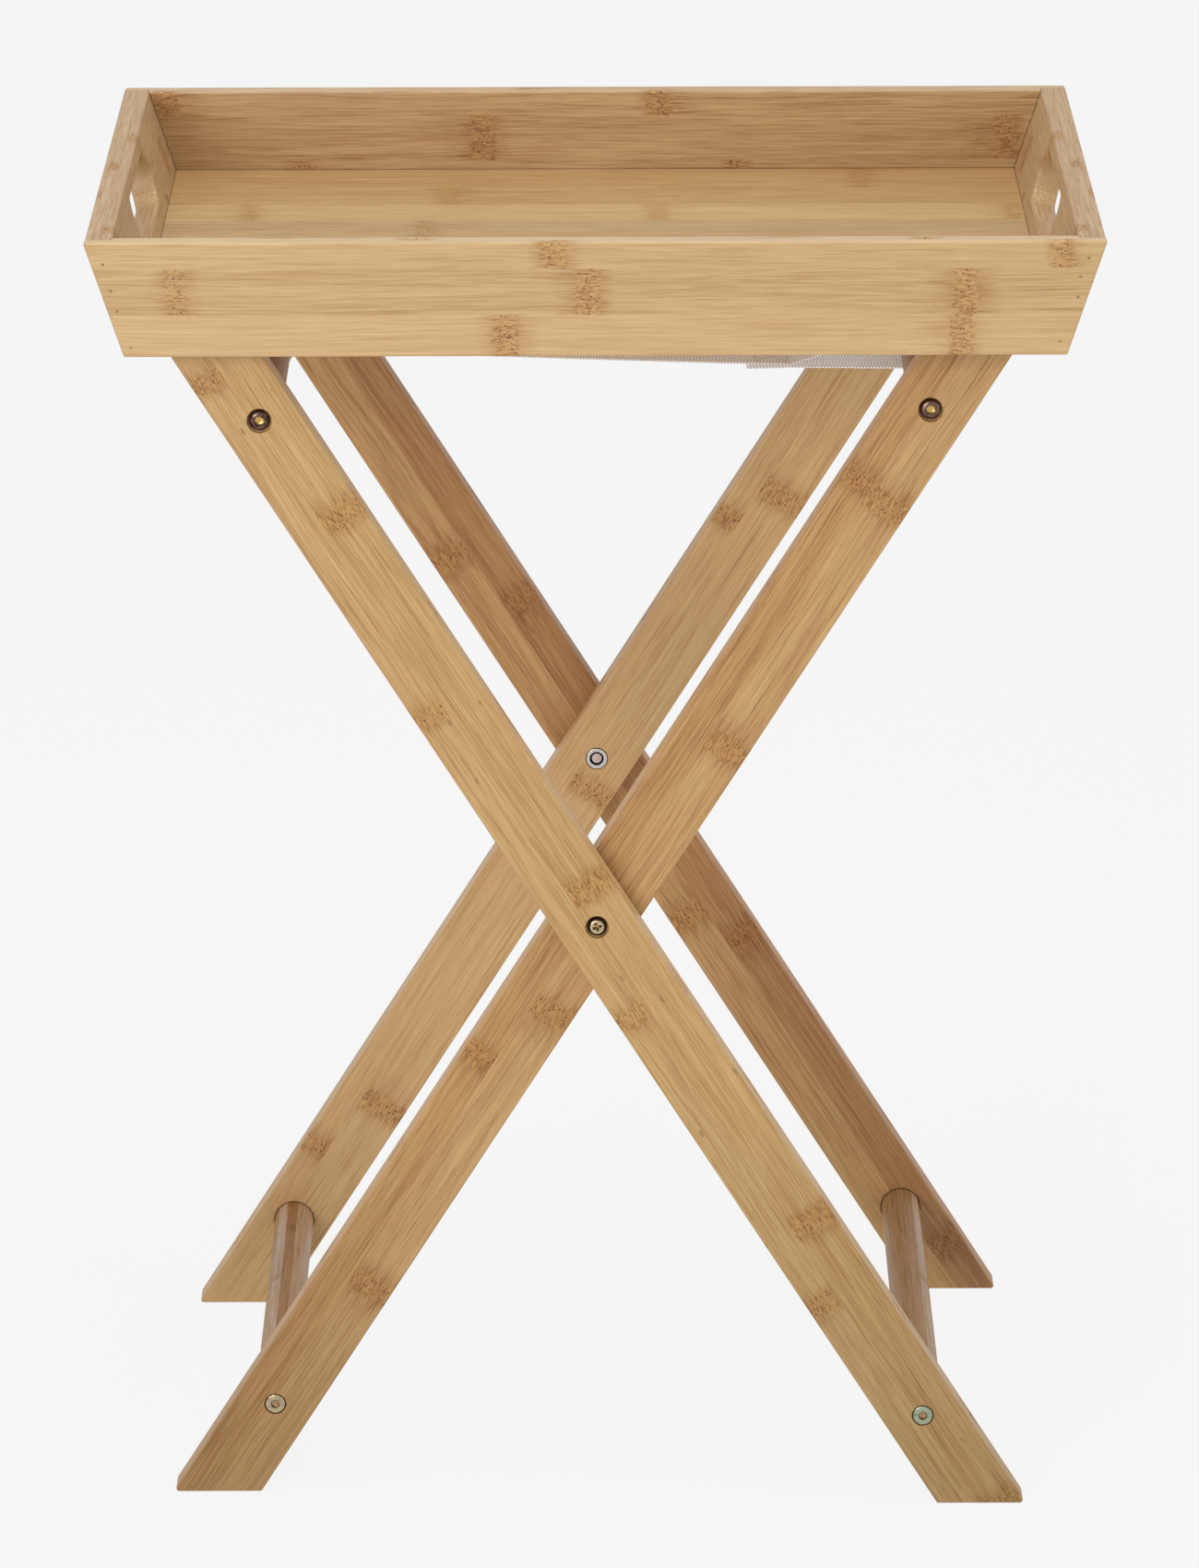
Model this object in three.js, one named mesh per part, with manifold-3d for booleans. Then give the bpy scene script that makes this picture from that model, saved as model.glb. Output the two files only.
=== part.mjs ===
// Folding tray table: a flared rectangular tray with two finger slots resting
// on an X-shaped folding stand made of two pivoting frames joined by a strap.
// Millimetres, +X to the right, +Y to the rear, +Z up, origin on the floor
// under the middle of the table.
import * as THREE from 'three';
import { mergeVertices } from 'three/addons/utils/BufferGeometryUtils.js';
import Module from 'manifold-3d';

const wasm = await Module();
wasm.setup();

// ---- tray ----
const TRAY_W_TOP = 525;      // outside width at the rim
const TRAY_W_BOT = 485;      // outside width at the bottom edge
const TRAY_D = 390;          // outside depth
const TRAY_TOP = 700;        // rim height above the floor
const TRAY_H = 60;           // board height
const BOARD_T = 13.5;        // thickness of all four boards
const REBATE = 6;            // depth of the end rebates in the long boards
const FLOOR_TOP = 656;       // top of the tray floor panel
const FLOOR_T = 4;           // panel thickness
const GROOVE = 4;            // groove depth for the panel
const PANEL_IN = 3.5;        // how far the panel enters the groove
const TONGUE_STEP = 0.6;     // the panel's tongue lies this far below its top face
const SLOT_L = 132;          // finger slot length
const SLOT_H = 28;           // finger slot height along the board
const SLOT_DROP = 22.2;      // slot centre below the rim, along the board
const SLOT_EASE = 1.5;       // eased edge of the finger slot
const BRAD_R = 0.75;         // brad shank radius
const BRAD_L = 25;

// ---- stand ----
const LEG_W = 40;            // board width
const LEG_T = 18;            // board thickness
const LEG_ANGLE = 57.7;      // from the floor, degrees
const LEG_TOP = 651.7;       // height of the cut leg tops
const PIVOT_Z = LEG_TOP / 2; // the legs are symmetric about the pivot
const BOLT_U = 326;          // pivot to each dowel axis, along the leg
const A_OUT = 176;           // outer face of the outer frame
const B_OUT = 156;           // outer face of the inner frame
const DOWEL_R = 11;
const SOCKET_R = 11.85;
const SOCKET_DEEP = 5;
const GAP = 0.3;             // between touching pieces

// ---- fasteners ----
const SHANK_R = 2.9;
const HOLE_R = 3.3;
const BOLT_L = 45;
const CBORE_DEEP = 3.6;
const CBORE_TOP_R = 6.5;
const CBORE_BOT_R = 5.9;
const HEAD_TOP_R = 5.6;
const HEAD_BOT_R = 5.4;
const HEX_AF = 4.2;
const INSERT_R = 4.9;
const INSERT_L = 15;
const PIVOT_R = 2.95;
const PIVOT_HOLE_R = 3.12;
const NUT_R = 5.9;
const NUT_CBORE_R = 6.25;
const NUT_H = 4;
const WASHER_R = 8;

// ---- strap ----
const STRAP_W = 30;
const STRAP_T = 1.4;
const STITCH_L = [-111, 599.3];   // where the left loop closes
const STITCH_R = [105, 591.4];    // where the right loop closes
const FLAP_X = 81;                // free end of the webbing under the main run

const rad = (a) => a * Math.PI / 180;
const SIN = Math.sin(rad(LEG_ANGLE));
const COS = Math.cos(rad(LEG_ANGLE));
const DOWEL_X = BOLT_U * COS;
const DOWEL_TOP_Z = PIVOT_Z + BOLT_U * SIN;
const DOWEL_BOT_Z = PIVOT_Z - BOLT_U * SIN;

// ---- helpers ----
function solid(geometry) {
  const g = geometry.clone();
  for (const k of Object.keys(g.attributes)) if (k !== 'position') g.deleteAttribute(k);
  const m = mergeVertices(g, 1e-4);
  return new wasm.Manifold(new wasm.Mesh({
    numProp: 3,
    vertProperties: new Float32Array(m.attributes.position.array),
    triVerts: new Uint32Array(m.index.array),
  }));
}

function geometryOf(manifold) {
  const m = manifold.getMesh();
  const g = new THREE.BufferGeometry();
  const p = new Float32Array((m.vertProperties.length / m.numProp) * 3);
  for (let i = 0, j = 0; i < m.vertProperties.length; i += m.numProp) {
    p[j++] = m.vertProperties[i];
    p[j++] = m.vertProperties[i + 1];
    p[j++] = m.vertProperties[i + 2];
  }
  g.setAttribute('position', new THREE.BufferAttribute(p, 3));
  g.setIndex(new THREE.BufferAttribute(new Uint32Array(m.triVerts), 1));
  g.computeVertexNormals();
  return g;
}

// an outline in X and Z, given thickness along Y starting at y0, with eased faces
function plateXZ(points, y0, thickness, ease, holes = []) {
  const shape = new THREE.Shape(points.map((p) => new THREE.Vector2(p[0], p[1])));
  for (const h of holes) shape.holes.push(new THREE.Path(h.map((p) => new THREE.Vector2(p[0], p[1]))));
  const g = new THREE.ExtrudeGeometry(shape, ease > 0
    ? { depth: thickness - 2 * ease, bevelEnabled: true, bevelThickness: ease, bevelSize: ease, bevelOffset: -ease, bevelSegments: 2, curveSegments: 8 }
    : { depth: thickness, bevelEnabled: false });
  g.translate(0, 0, ease > 0 ? ease : 0);
  g.rotateX(Math.PI / 2);            // depth now runs towards -Y
  g.translate(0, y0 + thickness, 0);
  return g;
}

// replaces each corner of a convex outline with a short arc
function roundCorners(points, r, steps = 2) {
  const out = [];
  const n = points.length;
  for (let i = 0; i < n; i++) {
    const p = new THREE.Vector2(...points[i]);
    const a = new THREE.Vector2(...points[(i + n - 1) % n]).sub(p).normalize();
    const b = new THREE.Vector2(...points[(i + 1) % n]).sub(p).normalize();
    const half = Math.acos(THREE.MathUtils.clamp(a.dot(b), -1, 1)) / 2;
    const back = r / Math.tan(half);
    const centre = p.clone().add(a.clone().add(b).normalize().multiplyScalar(r / Math.sin(half)));
    const s = p.clone().addScaledVector(a, back).sub(centre);
    const e = p.clone().addScaledVector(b, back).sub(centre);
    const a0 = Math.atan2(s.y, s.x);
    let da = Math.atan2(e.y, e.x) - a0;
    while (da > Math.PI) da -= 2 * Math.PI;
    while (da < -Math.PI) da += 2 * Math.PI;
    for (let k = 0; k <= steps; k++) {
      const t = a0 + da * k / steps;
      out.push([centre.x + r * Math.cos(t), centre.y + r * Math.sin(t)]);
    }
  }
  return out;
}

function boxAt(x0, x1, y0, y1, z0, z1) {
  const g = new THREE.BoxGeometry(x1 - x0, y1 - y0, z1 - z0);
  g.translate((x0 + x1) / 2, (y0 + y1) / 2, (z0 + z1) / 2);
  return g;
}

// a round bar along Y
function barY(x, z, r, y0, y1, segments = 24) {
  const g = new THREE.CylinderGeometry(r, r, Math.abs(y1 - y0), segments);
  g.translate(x, (y0 + y1) / 2, z);
  return g;
}

function lathe(profile, segments = 24) {
  return new THREE.LatheGeometry(profile.map((p) => new THREE.Vector2(p[0], p[1])), segments);
}

const group = new THREE.Group();
group.name = 'folding_tray_table';

const BAMBOO = [0xcda46c, 0.55, 0];
const BAMBOO_DARK = [0xb98d5c, 0.55, 0];
const DOWEL_WOOD = [0xa98f78, 0.6, 0];
const BRONZE = [0x6b5348, 0.4, 0.9];
const ZINC = [0xc9c2ae, 0.35, 0.9];
const BRASS = [0xb9924a, 0.4, 0.9];
const STEEL = [0x9a9a9a, 0.4, 0.9];
const WEBBING = [0xe9e4dc, 0.9, 0];

function add(name, geometry, [colour, roughness, metalness]) {
  const mesh = new THREE.Mesh(geometry, new THREE.MeshStandardMaterial({ color: colour, roughness, metalness }));
  mesh.name = name;
  group.add(mesh);
}

// ---- tray boards ----
const SLOPE = (TRAY_W_TOP - TRAY_W_BOT) / 2 / TRAY_H;
const TILT = Math.atan(SLOPE);
const END_T = BOARD_T / Math.cos(TILT);
const TRAY_BOT = TRAY_TOP - TRAY_H;
const outerX = (z) => TRAY_W_TOP / 2 - (TRAY_TOP - z) * SLOPE;
const innerX = (z) => outerX(z) - END_T;
const END_Y = TRAY_D / 2 - BOARD_T + REBATE - GAP;   // half length of the end boards

// brads: height and distance in from the sloping end, front left and front right
const BRADS = {
  l: [[688.9, 6.5], [674.9, 5.6], [664.3, 5.2], [645.0, 5.4]],
  r: [[691.0, 6.7], [681.3, 7.6], [670.6, 5.2], [647.2, 6.3]],
};

const bradTools = [];
for (const face of ['front', 'rear']) {
  for (const side of ['l', 'r']) {
    BRADS[side].forEach(([z, inset], i) => {
      const x = (side === 'l' ? -1 : 1) * (outerX(z) - inset);
      const s = face === 'front' ? -1 : 1;
      const y0 = s * (TRAY_D / 2 - 0.5);
      const y1 = y0 - s * BRAD_L;
      bradTools.push({ face, side, name: `tray_brad_${face}_${side}${i + 1}`, x, z, y0, y1, s });
    });
  }
}

function longBoard(face) {
  const s = face === 'front' ? -1 : 1;
  const yOut = s * TRAY_D / 2;
  const yIn = s * (TRAY_D / 2 - BOARD_T);
  const outline = [
    [-TRAY_W_BOT / 2, TRAY_BOT], [TRAY_W_BOT / 2, TRAY_BOT],
    [TRAY_W_TOP / 2, TRAY_TOP], [-TRAY_W_TOP / 2, TRAY_TOP],
  ];
  let m = solid(plateXZ(outline, Math.min(yOut, yIn), BOARD_T, 1.4));
  // rebates that take the end boards, cut to the slope of the ends
  const yr0 = s * (TRAY_D / 2 - BOARD_T - 1);
  const yr1 = s * (TRAY_D / 2 - BOARD_T + REBATE);
  for (const side of [-1, 1]) {
    const z0 = TRAY_BOT - 2;
    const z1 = TRAY_TOP + 2;
    const cut = [
      [side * (innerX(z0) - GAP - 0.3), z0], [side * (outerX(z0) + 4), z0],
      [side * (outerX(z1) + 4), z1], [side * (innerX(z1) - GAP - 0.3), z1],
    ];
    if (side < 0) cut.reverse();
    m = m.subtract(solid(plateXZ(cut, Math.min(yr0, yr1), Math.abs(yr1 - yr0), 0)));
  }
  // groove for the floor panel
  const yg1 = s * (TRAY_D / 2 - BOARD_T + GROOVE);
  m = m.subtract(solid(boxAt(-TRAY_W_TOP, TRAY_W_TOP, Math.min(yr0, yg1), Math.max(yr0, yg1),
    FLOOR_TOP - FLOOR_T - GAP, FLOOR_TOP + 0.5)));
  for (const b of bradTools) {
    if (b.face === face) m = m.subtract(solid(barY(b.x, b.z, BRAD_R + 0.25, s * (TRAY_D / 2 + 1), s * (TRAY_D / 2 - BOARD_T), 10)));
  }
  return geometryOf(m);
}

function endBoard(side) {
  const outline = [
    [side * innerX(TRAY_BOT), TRAY_BOT], [side * outerX(TRAY_BOT), TRAY_BOT],
    [side * outerX(TRAY_TOP), TRAY_TOP], [side * innerX(TRAY_TOP), TRAY_TOP],
  ];
  if (side < 0) outline.reverse();
  let m = solid(plateXZ(roundCorners(outline, 1.2), -END_Y, 2 * END_Y, 0));
  // groove for the floor panel
  const g = [
    [side * (innerX(FLOOR_TOP) - 3), FLOOR_TOP - FLOOR_T - GAP],
    [side * (innerX(FLOOR_TOP) + GROOVE), FLOOR_TOP - FLOOR_T - GAP],
    [side * (innerX(FLOOR_TOP) + GROOVE), FLOOR_TOP + 0.5],
    [side * (innerX(FLOOR_TOP) - 3), FLOOR_TOP + 0.5],
  ];
  if (side < 0) g.reverse();
  m = m.subtract(solid(plateXZ(g, -END_Y - 1, 2 * END_Y + 2, 0)));
  // finger slot, square to the board, with eased edges on both faces
  const r = SLOT_H / 2;
  const half = SLOT_L / 2 - r;
  const stadium = new THREE.Shape();
  stadium.absarc(half, 0, r, -Math.PI / 2, Math.PI / 2, false);
  stadium.absarc(-half, 0, r, Math.PI / 2, 1.5 * Math.PI, false);
  // local x = board length, local y = up the slope, local z = out of the outer face
  const place = new THREE.Matrix4().makeBasis(
    new THREE.Vector3(0, side, 0),
    new THREE.Vector3(side * Math.sin(TILT), 0, Math.cos(TILT)),
    new THREE.Vector3(side * Math.cos(TILT), 0, -Math.sin(TILT)),
  );
  const centre = new THREE.Vector3(side * innerX(TRAY_TOP), 0, TRAY_TOP)
    .add(new THREE.Vector3(side * Math.sin(TILT), 0, Math.cos(TILT)).multiplyScalar(-SLOT_DROP));
  place.setPosition(centre);
  const through = new THREE.ExtrudeGeometry(stadium, { depth: BOARD_T + 10, bevelEnabled: false, curveSegments: 10 });
  through.translate(0, 0, -5);
  through.applyMatrix4(place);
  m = m.subtract(solid(through));
  for (const z of [BOARD_T, 0]) {
    const flare = new THREE.ExtrudeGeometry(stadium, {
      depth: 4, bevelEnabled: true, bevelThickness: SLOT_EASE, bevelSize: SLOT_EASE, bevelOffset: 0, bevelSegments: 2, curveSegments: 10,
    });
    if (z === 0) flare.rotateY(Math.PI);
    flare.translate(0, 0, z);
    flare.applyMatrix4(place);
    m = m.subtract(solid(flare));
  }
  const name = side < 0 ? 'l' : 'r';
  for (const b of bradTools) {
    if (b.side === name) m = m.subtract(solid(barY(b.x, b.z, BRAD_R + 0.25, b.s * END_Y * 1.05, b.y1 - b.s * 1, 10)));
  }
  return geometryOf(m);
}

add('tray_front_board', longBoard('front'), BAMBOO);
add('tray_back_board', longBoard('rear'), BAMBOO);
add('tray_left_end', endBoard(-1), BAMBOO);
add('tray_right_end', endBoard(1), BAMBOO);
{
  // the edge is rebated, so the top face ends inside the boards and the tongue enters the groove
  const px = innerX(FLOOR_TOP);
  const py = TRAY_D / 2 - BOARD_T;
  const tongue = boxAt(-px - PANEL_IN, px + PANEL_IN, -py - PANEL_IN, py + PANEL_IN, FLOOR_TOP - FLOOR_T, FLOOR_TOP - TONGUE_STEP);
  const face = boxAt(-px + 0.5, px - 0.5, -py + GAP, py - GAP, FLOOR_TOP - FLOOR_T / 2, FLOOR_TOP);
  add('tray_floor', geometryOf(solid(tongue).add(solid(face))), BAMBOO);
}
for (const b of bradTools) {
  const g = new THREE.CylinderGeometry(BRAD_R, BRAD_R, BRAD_L, 8);
  g.translate(b.x, (b.y0 + b.y1) / 2, b.z);
  add(b.name, g, STEEL);
}

// ---- legs ----
// dir is -1 where the leg leans to the left going up, +1 to the right
function legOutline(dir) {
  const hw = LEG_W / 2 / SIN;
  const run = PIVOT_Z / Math.tan(rad(LEG_ANGLE));
  const pts = [
    [-dir * run - hw, 0], [-dir * run + hw, 0],
    [dir * run + hw, LEG_TOP], [dir * run - hw, LEG_TOP],
  ];
  return roundCorners(pts, 1.5);
}

function leg(frame, where) {
  const dir = frame === 'a' ? -1 : 1;
  const out = frame === 'a' ? A_OUT : B_OUT;
  const s = where === 'front' ? -1 : 1;
  const yOut = s * out;
  const yIn = s * (out - LEG_T);
  let m = solid(plateXZ(legOutline(dir), Math.min(yOut, yIn), LEG_T, 1.1));
  const cut = (x, z, r, ya, yb, n) => { m = m.subtract(solid(barY(x, z, r, ya, yb, n))); };
  for (const [x, z, r] of [[dir * DOWEL_X, DOWEL_TOP_Z, CBORE_TOP_R], [-dir * DOWEL_X, DOWEL_BOT_Z, CBORE_BOT_R]]) {
    cut(x, z, HOLE_R, yOut + s, yIn - s, 16);
    cut(x, z, r, yOut + s, yOut - s * CBORE_DEEP, 24);
    cut(x, z, SOCKET_R, yIn - s, yIn + s * SOCKET_DEEP, 28);
  }
  cut(0, PIVOT_Z, PIVOT_HOLE_R, yOut + s, yIn - s, 28);
  if (frame === 'a') cut(0, PIVOT_Z, 6.2, yOut + s, yOut - s * CBORE_DEEP, 24);
  else cut(0, PIVOT_Z, NUT_CBORE_R, yIn - s, yIn + s * (NUT_H + GAP), 28);
  return geometryOf(m);
}

// ---- dowels: round bars with a stepped bore in each end ----
function dowel(x, z, half) {
  const g = lathe([
    [0, -half + 42], [HOLE_R, -half + 42], [HOLE_R, -half + INSERT_L + 1.5], [INSERT_R + 0.3, -half + INSERT_L + 1.5],
    [INSERT_R + 0.3, -half], [DOWEL_R, -half], [DOWEL_R, half], [INSERT_R + 0.3, half],
    [INSERT_R + 0.3, half - INSERT_L - 1.5], [HOLE_R, half - INSERT_L - 1.5], [HOLE_R, half - 42], [0, half - 42],
  ], 28);
  g.translate(x, 0, z);
  return g;
}

// ---- fasteners, drawn with the head towards -Y, the shank towards +Y ----
function socketBolt(headR, domed) {
  const headH = 3.1;
  const head = domed
    ? [[0, -headH], [headR * 0.6, -headH], [headR * 0.88, -headH * 0.65], [headR, -headH * 0.2], [headR, 0]]
    : [[0, -headH], [headR - 0.6, -headH], [headR, -headH + 0.6], [headR, 0]];
  const profile = [...head, [SHANK_R, 0], [SHANK_R, BOLT_L], [0, BOLT_L]];
  let m = solid(lathe(profile, 20));
  const hex = new THREE.CylinderGeometry(HEX_AF / Math.sqrt(3), HEX_AF / Math.sqrt(3), 4, 6);
  hex.translate(0, -headH - 2 + 2.1, 0);
  m = m.subtract(solid(hex));
  return m;
}

function crossBolt() {
  const headR = 5.2;
  const headH = 3;
  const length = A_OUT - CBORE_DEEP - (B_OUT - LEG_T) - 1;
  const profile = [
    [0, -headH], [headR * 0.6, -headH], [headR * 0.88, -headH * 0.7], [headR, -headH * 0.3], [headR, 0],
    [PIVOT_R, 0], [PIVOT_R, length], [0, length],
  ];
  let m = solid(lathe(profile, 24));
  for (const a of [0, Math.PI / 2]) {
    const arm = new THREE.CylinderGeometry(1.0, 2.1, 2.6, 4);   // tapering wedge
    arm.rotateY(Math.PI / 4);
    arm.scale(1.35, 1, 0.42);
    arm.rotateY(a + rad(18));
    arm.translate(0, -headH + 1.0, 0);
    m = m.subtract(solid(arm));
  }
  return m;
}

function ringNut() {
  const g = lathe([
    [3.15, 0], [3.15, NUT_H - 1.3], [4.4, NUT_H], [NUT_R, NUT_H], [NUT_R, 0], [3.15, 0],
  ].reverse(), 28);
  return g;
}

function ringGeometry(ri, ro, h, n) {
  return lathe([[ri, 0], [ro, 0], [ro, h], [ri, h], [ri, 0]], n);
}

// head towards the outside: front pieces face -Y, rear pieces are turned round
function mounted(geometry, x, yBearing, z, where) {
  const g = geometry.clone();
  if (where === 'rear') g.rotateZ(Math.PI);
  g.translate(x, yBearing, z);
  return g;
}

const boltDomed = geometryOf(socketBolt(HEAD_TOP_R, true));
const boltFlat = geometryOf(socketBolt(HEAD_BOT_R, false));
const insertG = ringGeometry(3.15, INSERT_R, INSERT_L, 16);

for (const frame of ['a', 'b']) {
  const dir = frame === 'a' ? -1 : 1;
  const out = frame === 'a' ? A_OUT : B_OUT;
  add(`frame_${frame}_leg_front`, leg(frame, 'front'), BAMBOO);
  add(`frame_${frame}_leg_rear`, leg(frame, 'rear'), BAMBOO_DARK);
  const half = out - LEG_T + SOCKET_DEEP - GAP;
  add(`frame_${frame}_dowel_top`, dowel(dir * DOWEL_X, DOWEL_TOP_Z, half), DOWEL_WOOD);
  add(`frame_${frame}_dowel_bottom`, dowel(-dir * DOWEL_X, DOWEL_BOT_Z, half), DOWEL_WOOD);
  for (const where of ['front', 'rear']) {
    const s = where === 'front' ? -1 : 1;
    const yb = s * (out - CBORE_DEEP + 0.1);
    add(`frame_${frame}_bolt_top_${where}`, mounted(boltDomed, dir * DOWEL_X, yb, DOWEL_TOP_Z, where), BRONZE);
    add(`frame_${frame}_bolt_bottom_${where}`, mounted(boltFlat, -dir * DOWEL_X, yb, DOWEL_BOT_Z, where), ZINC);
    const yi = s * (half - 0.3);
    add(`frame_${frame}_insert_top_${where}`, mounted(insertG, dir * DOWEL_X, yi, DOWEL_TOP_Z, where), BRASS);
    add(`frame_${frame}_insert_bottom_${where}`, mounted(insertG, -dir * DOWEL_X, yi, DOWEL_BOT_Z, where), BRASS);
  }
}

// ---- pivots ----
for (const where of ['front', 'rear']) {
  const s = where === 'front' ? -1 : 1;
  add(`pivot_bolt_${where}`, mounted(geometryOf(crossBolt()), 0, s * (A_OUT - CBORE_DEEP + 0.1), PIVOT_Z, where), BRONZE);
  add(`pivot_nut_${where}`, mounted(ringNut(), 0, s * (B_OUT - LEG_T + NUT_H + 0.1), PIVOT_Z, where), ZINC);
  const gapMid = (A_OUT - LEG_T + B_OUT) / 2;
  add(`pivot_washer_${where}`, mounted(ringGeometry(3.3, WASHER_R, 1.4, 24), 0, s * (gapMid + 0.7), PIVOT_Z, where), STEEL);
}

// ---- strap: webbing looped round both top dowels and sewn back on itself ----
function teardrop(cx, cz, r, px, pz) {
  const d = Math.hypot(px - cx, pz - cz);
  const to = Math.atan2(pz - cz, px - cx);
  const phi = Math.acos(r / d);
  const pts = [[px, pz]];
  const n = 22;
  for (let i = 0; i <= n; i++) {
    const t = to + phi + (2 * Math.PI - 2 * phi) * i / n;
    pts.push([cx + r * Math.cos(t), cz + r * Math.sin(t)]);
  }
  return pts;
}

function strap() {
  const ri = DOWEL_R + 0.4;
  const ro = ri + STRAP_T;
  let m = null;
  for (const [cx, [px, pz]] of [[-DOWEL_X, STITCH_L], [DOWEL_X, STITCH_R]]) {
    const d = Math.hypot(px - cx, pz - DOWEL_TOP_Z);
    const back = STRAP_T / (ro / d);
    const qx = px + (cx - px) / d * back;
    const qz = pz + (DOWEL_TOP_Z - pz) / d * back;
    const ring = solid(plateXZ(teardrop(cx, DOWEL_TOP_Z, ro, px, pz), -STRAP_W / 2, STRAP_W, 0,
      [teardrop(cx, DOWEL_TOP_Z, ri, qx, qz).reverse()]));
    m = m ? m.add(ring) : ring;
  }
  const [lx, lz] = STITCH_L;
  const [rx, rz] = STITCH_R;
  const h = STRAP_T / 2;
  const run = [[lx - 6, lz - h], [rx + 4, rz - h], [rx + 4, rz + h], [lx - 6, lz + h]];
  m = m.add(solid(plateXZ(run, -STRAP_W / 2, STRAP_W, 0)));
  const flap = [[FLAP_X, rz - 2.1], [rx + 4, rz - h - 0.6], [rx + 4, rz], [FLAP_X, rz - 0.2]];
  m = m.add(solid(plateXZ(flap, -STRAP_W / 2, STRAP_W, 0)));
  return geometryOf(m);
}
add('strap_webbing', strap(), WEBBING);

export default group;
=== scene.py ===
import math
import random

import bmesh
import bpy
from mathutils import Matrix, Vector


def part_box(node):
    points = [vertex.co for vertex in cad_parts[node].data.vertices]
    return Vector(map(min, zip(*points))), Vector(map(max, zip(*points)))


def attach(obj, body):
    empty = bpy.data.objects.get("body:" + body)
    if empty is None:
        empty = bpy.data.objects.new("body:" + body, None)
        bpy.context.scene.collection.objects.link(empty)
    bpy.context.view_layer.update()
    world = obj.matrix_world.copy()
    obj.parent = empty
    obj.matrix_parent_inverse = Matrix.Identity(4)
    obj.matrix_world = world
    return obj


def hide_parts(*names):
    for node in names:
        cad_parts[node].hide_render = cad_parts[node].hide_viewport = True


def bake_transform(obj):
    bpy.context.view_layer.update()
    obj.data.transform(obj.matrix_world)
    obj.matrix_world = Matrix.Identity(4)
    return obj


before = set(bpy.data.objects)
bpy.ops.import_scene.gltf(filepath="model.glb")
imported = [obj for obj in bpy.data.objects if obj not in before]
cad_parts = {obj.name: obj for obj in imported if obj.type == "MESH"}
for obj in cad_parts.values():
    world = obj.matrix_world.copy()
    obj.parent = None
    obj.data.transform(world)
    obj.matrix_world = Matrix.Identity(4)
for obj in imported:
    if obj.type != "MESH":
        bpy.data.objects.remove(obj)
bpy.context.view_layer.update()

scene = bpy.context.scene
scene.view_settings.view_transform = "Standard"
scene.view_settings.look = "None"
scene.view_settings.exposure = 0.0
scene.view_settings.gamma = 1.0
rng = random.Random(7)
MM = 0.001
pi = math.pi


def mmbox(node):
    lo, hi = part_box(node)
    return [c * 1000 for c in lo], [c * 1000 for c in hi]


# ---------------------------------------------------------------- sizes, read from the frame
_lo, _hi = mmbox("frame_a_leg_front")
A_OUT = -_lo[1]
LEG_T = _hi[1] - _lo[1]
LEG_TOP = _hi[2]
B_OUT = -mmbox("frame_b_leg_front")[0][1]
_lo, _hi = mmbox("pivot_nut_rear")
PIVOT_Z = (_lo[2] + _hi[2]) / 2
_lo, _hi = mmbox("frame_b_dowel_top")
DOWEL_X = (_lo[0] + _hi[0]) / 2
DOWEL_TOP_Z = (_lo[2] + _hi[2]) / 2
B_DOWEL_HALF = _hi[1]
A_DOWEL_HALF = mmbox("frame_a_dowel_top")[1][1]
DOWEL_BOT_Z = 2 * PIVOT_Z - DOWEL_TOP_Z
ANG = math.atan2(DOWEL_TOP_Z - PIVOT_Z, DOWEL_X)
SIN, COS = math.sin(ANG), math.cos(ANG)
LEG_W = 40.0
DOWEL_R = 11.0
SOCKET_R, SOCKET_DEEP = 11.4, 5.0
HOLE_R, CBORE_DEEP = 3.3, 3.6

_lo, _hi = mmbox("tray_front_board")
TRAY_W_TOP, TRAY_D, TRAY_TOP, TRAY_BOT = _hi[0] * 2, -_lo[1] * 2, _hi[2], _lo[2]
BOARD_T = _hi[1] - _lo[1]
TRAY_W_BOT = 485.0
REBATE, GROOVE = 6.0, 4.0
FLOOR_TOP = mmbox("tray_floor")[1][2]
FLOOR_BOT = mmbox("tray_floor")[0][2]
END_Y = mmbox("tray_left_end")[1][1]
SLOPE = (TRAY_W_TOP - TRAY_W_BOT) / 2 / (TRAY_TOP - TRAY_BOT)
TILT = math.atan(SLOPE)
END_T = BOARD_T / math.cos(TILT)
SLOT_L, SLOT_H, SLOT_DROP, SLOT_EASE = 132.0, 28.0, 22.2, 1.5


def outer_x(z):
    return TRAY_W_TOP / 2 - (TRAY_TOP - z) * SLOPE


def inner_x(z):
    return outer_x(z) - END_T


# ---------------------------------------------------------------- mesh helpers
def finish_mesh(bm, name):
    bmesh.ops.recalc_face_normals(bm, faces=bm.faces)
    for v in bm.verts:
        v.co *= MM
    me = bpy.data.meshes.new(name)
    bm.to_mesh(me)
    bm.free()
    o = bpy.data.objects.new(name, me)
    scene.collection.objects.link(o)
    return o


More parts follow.
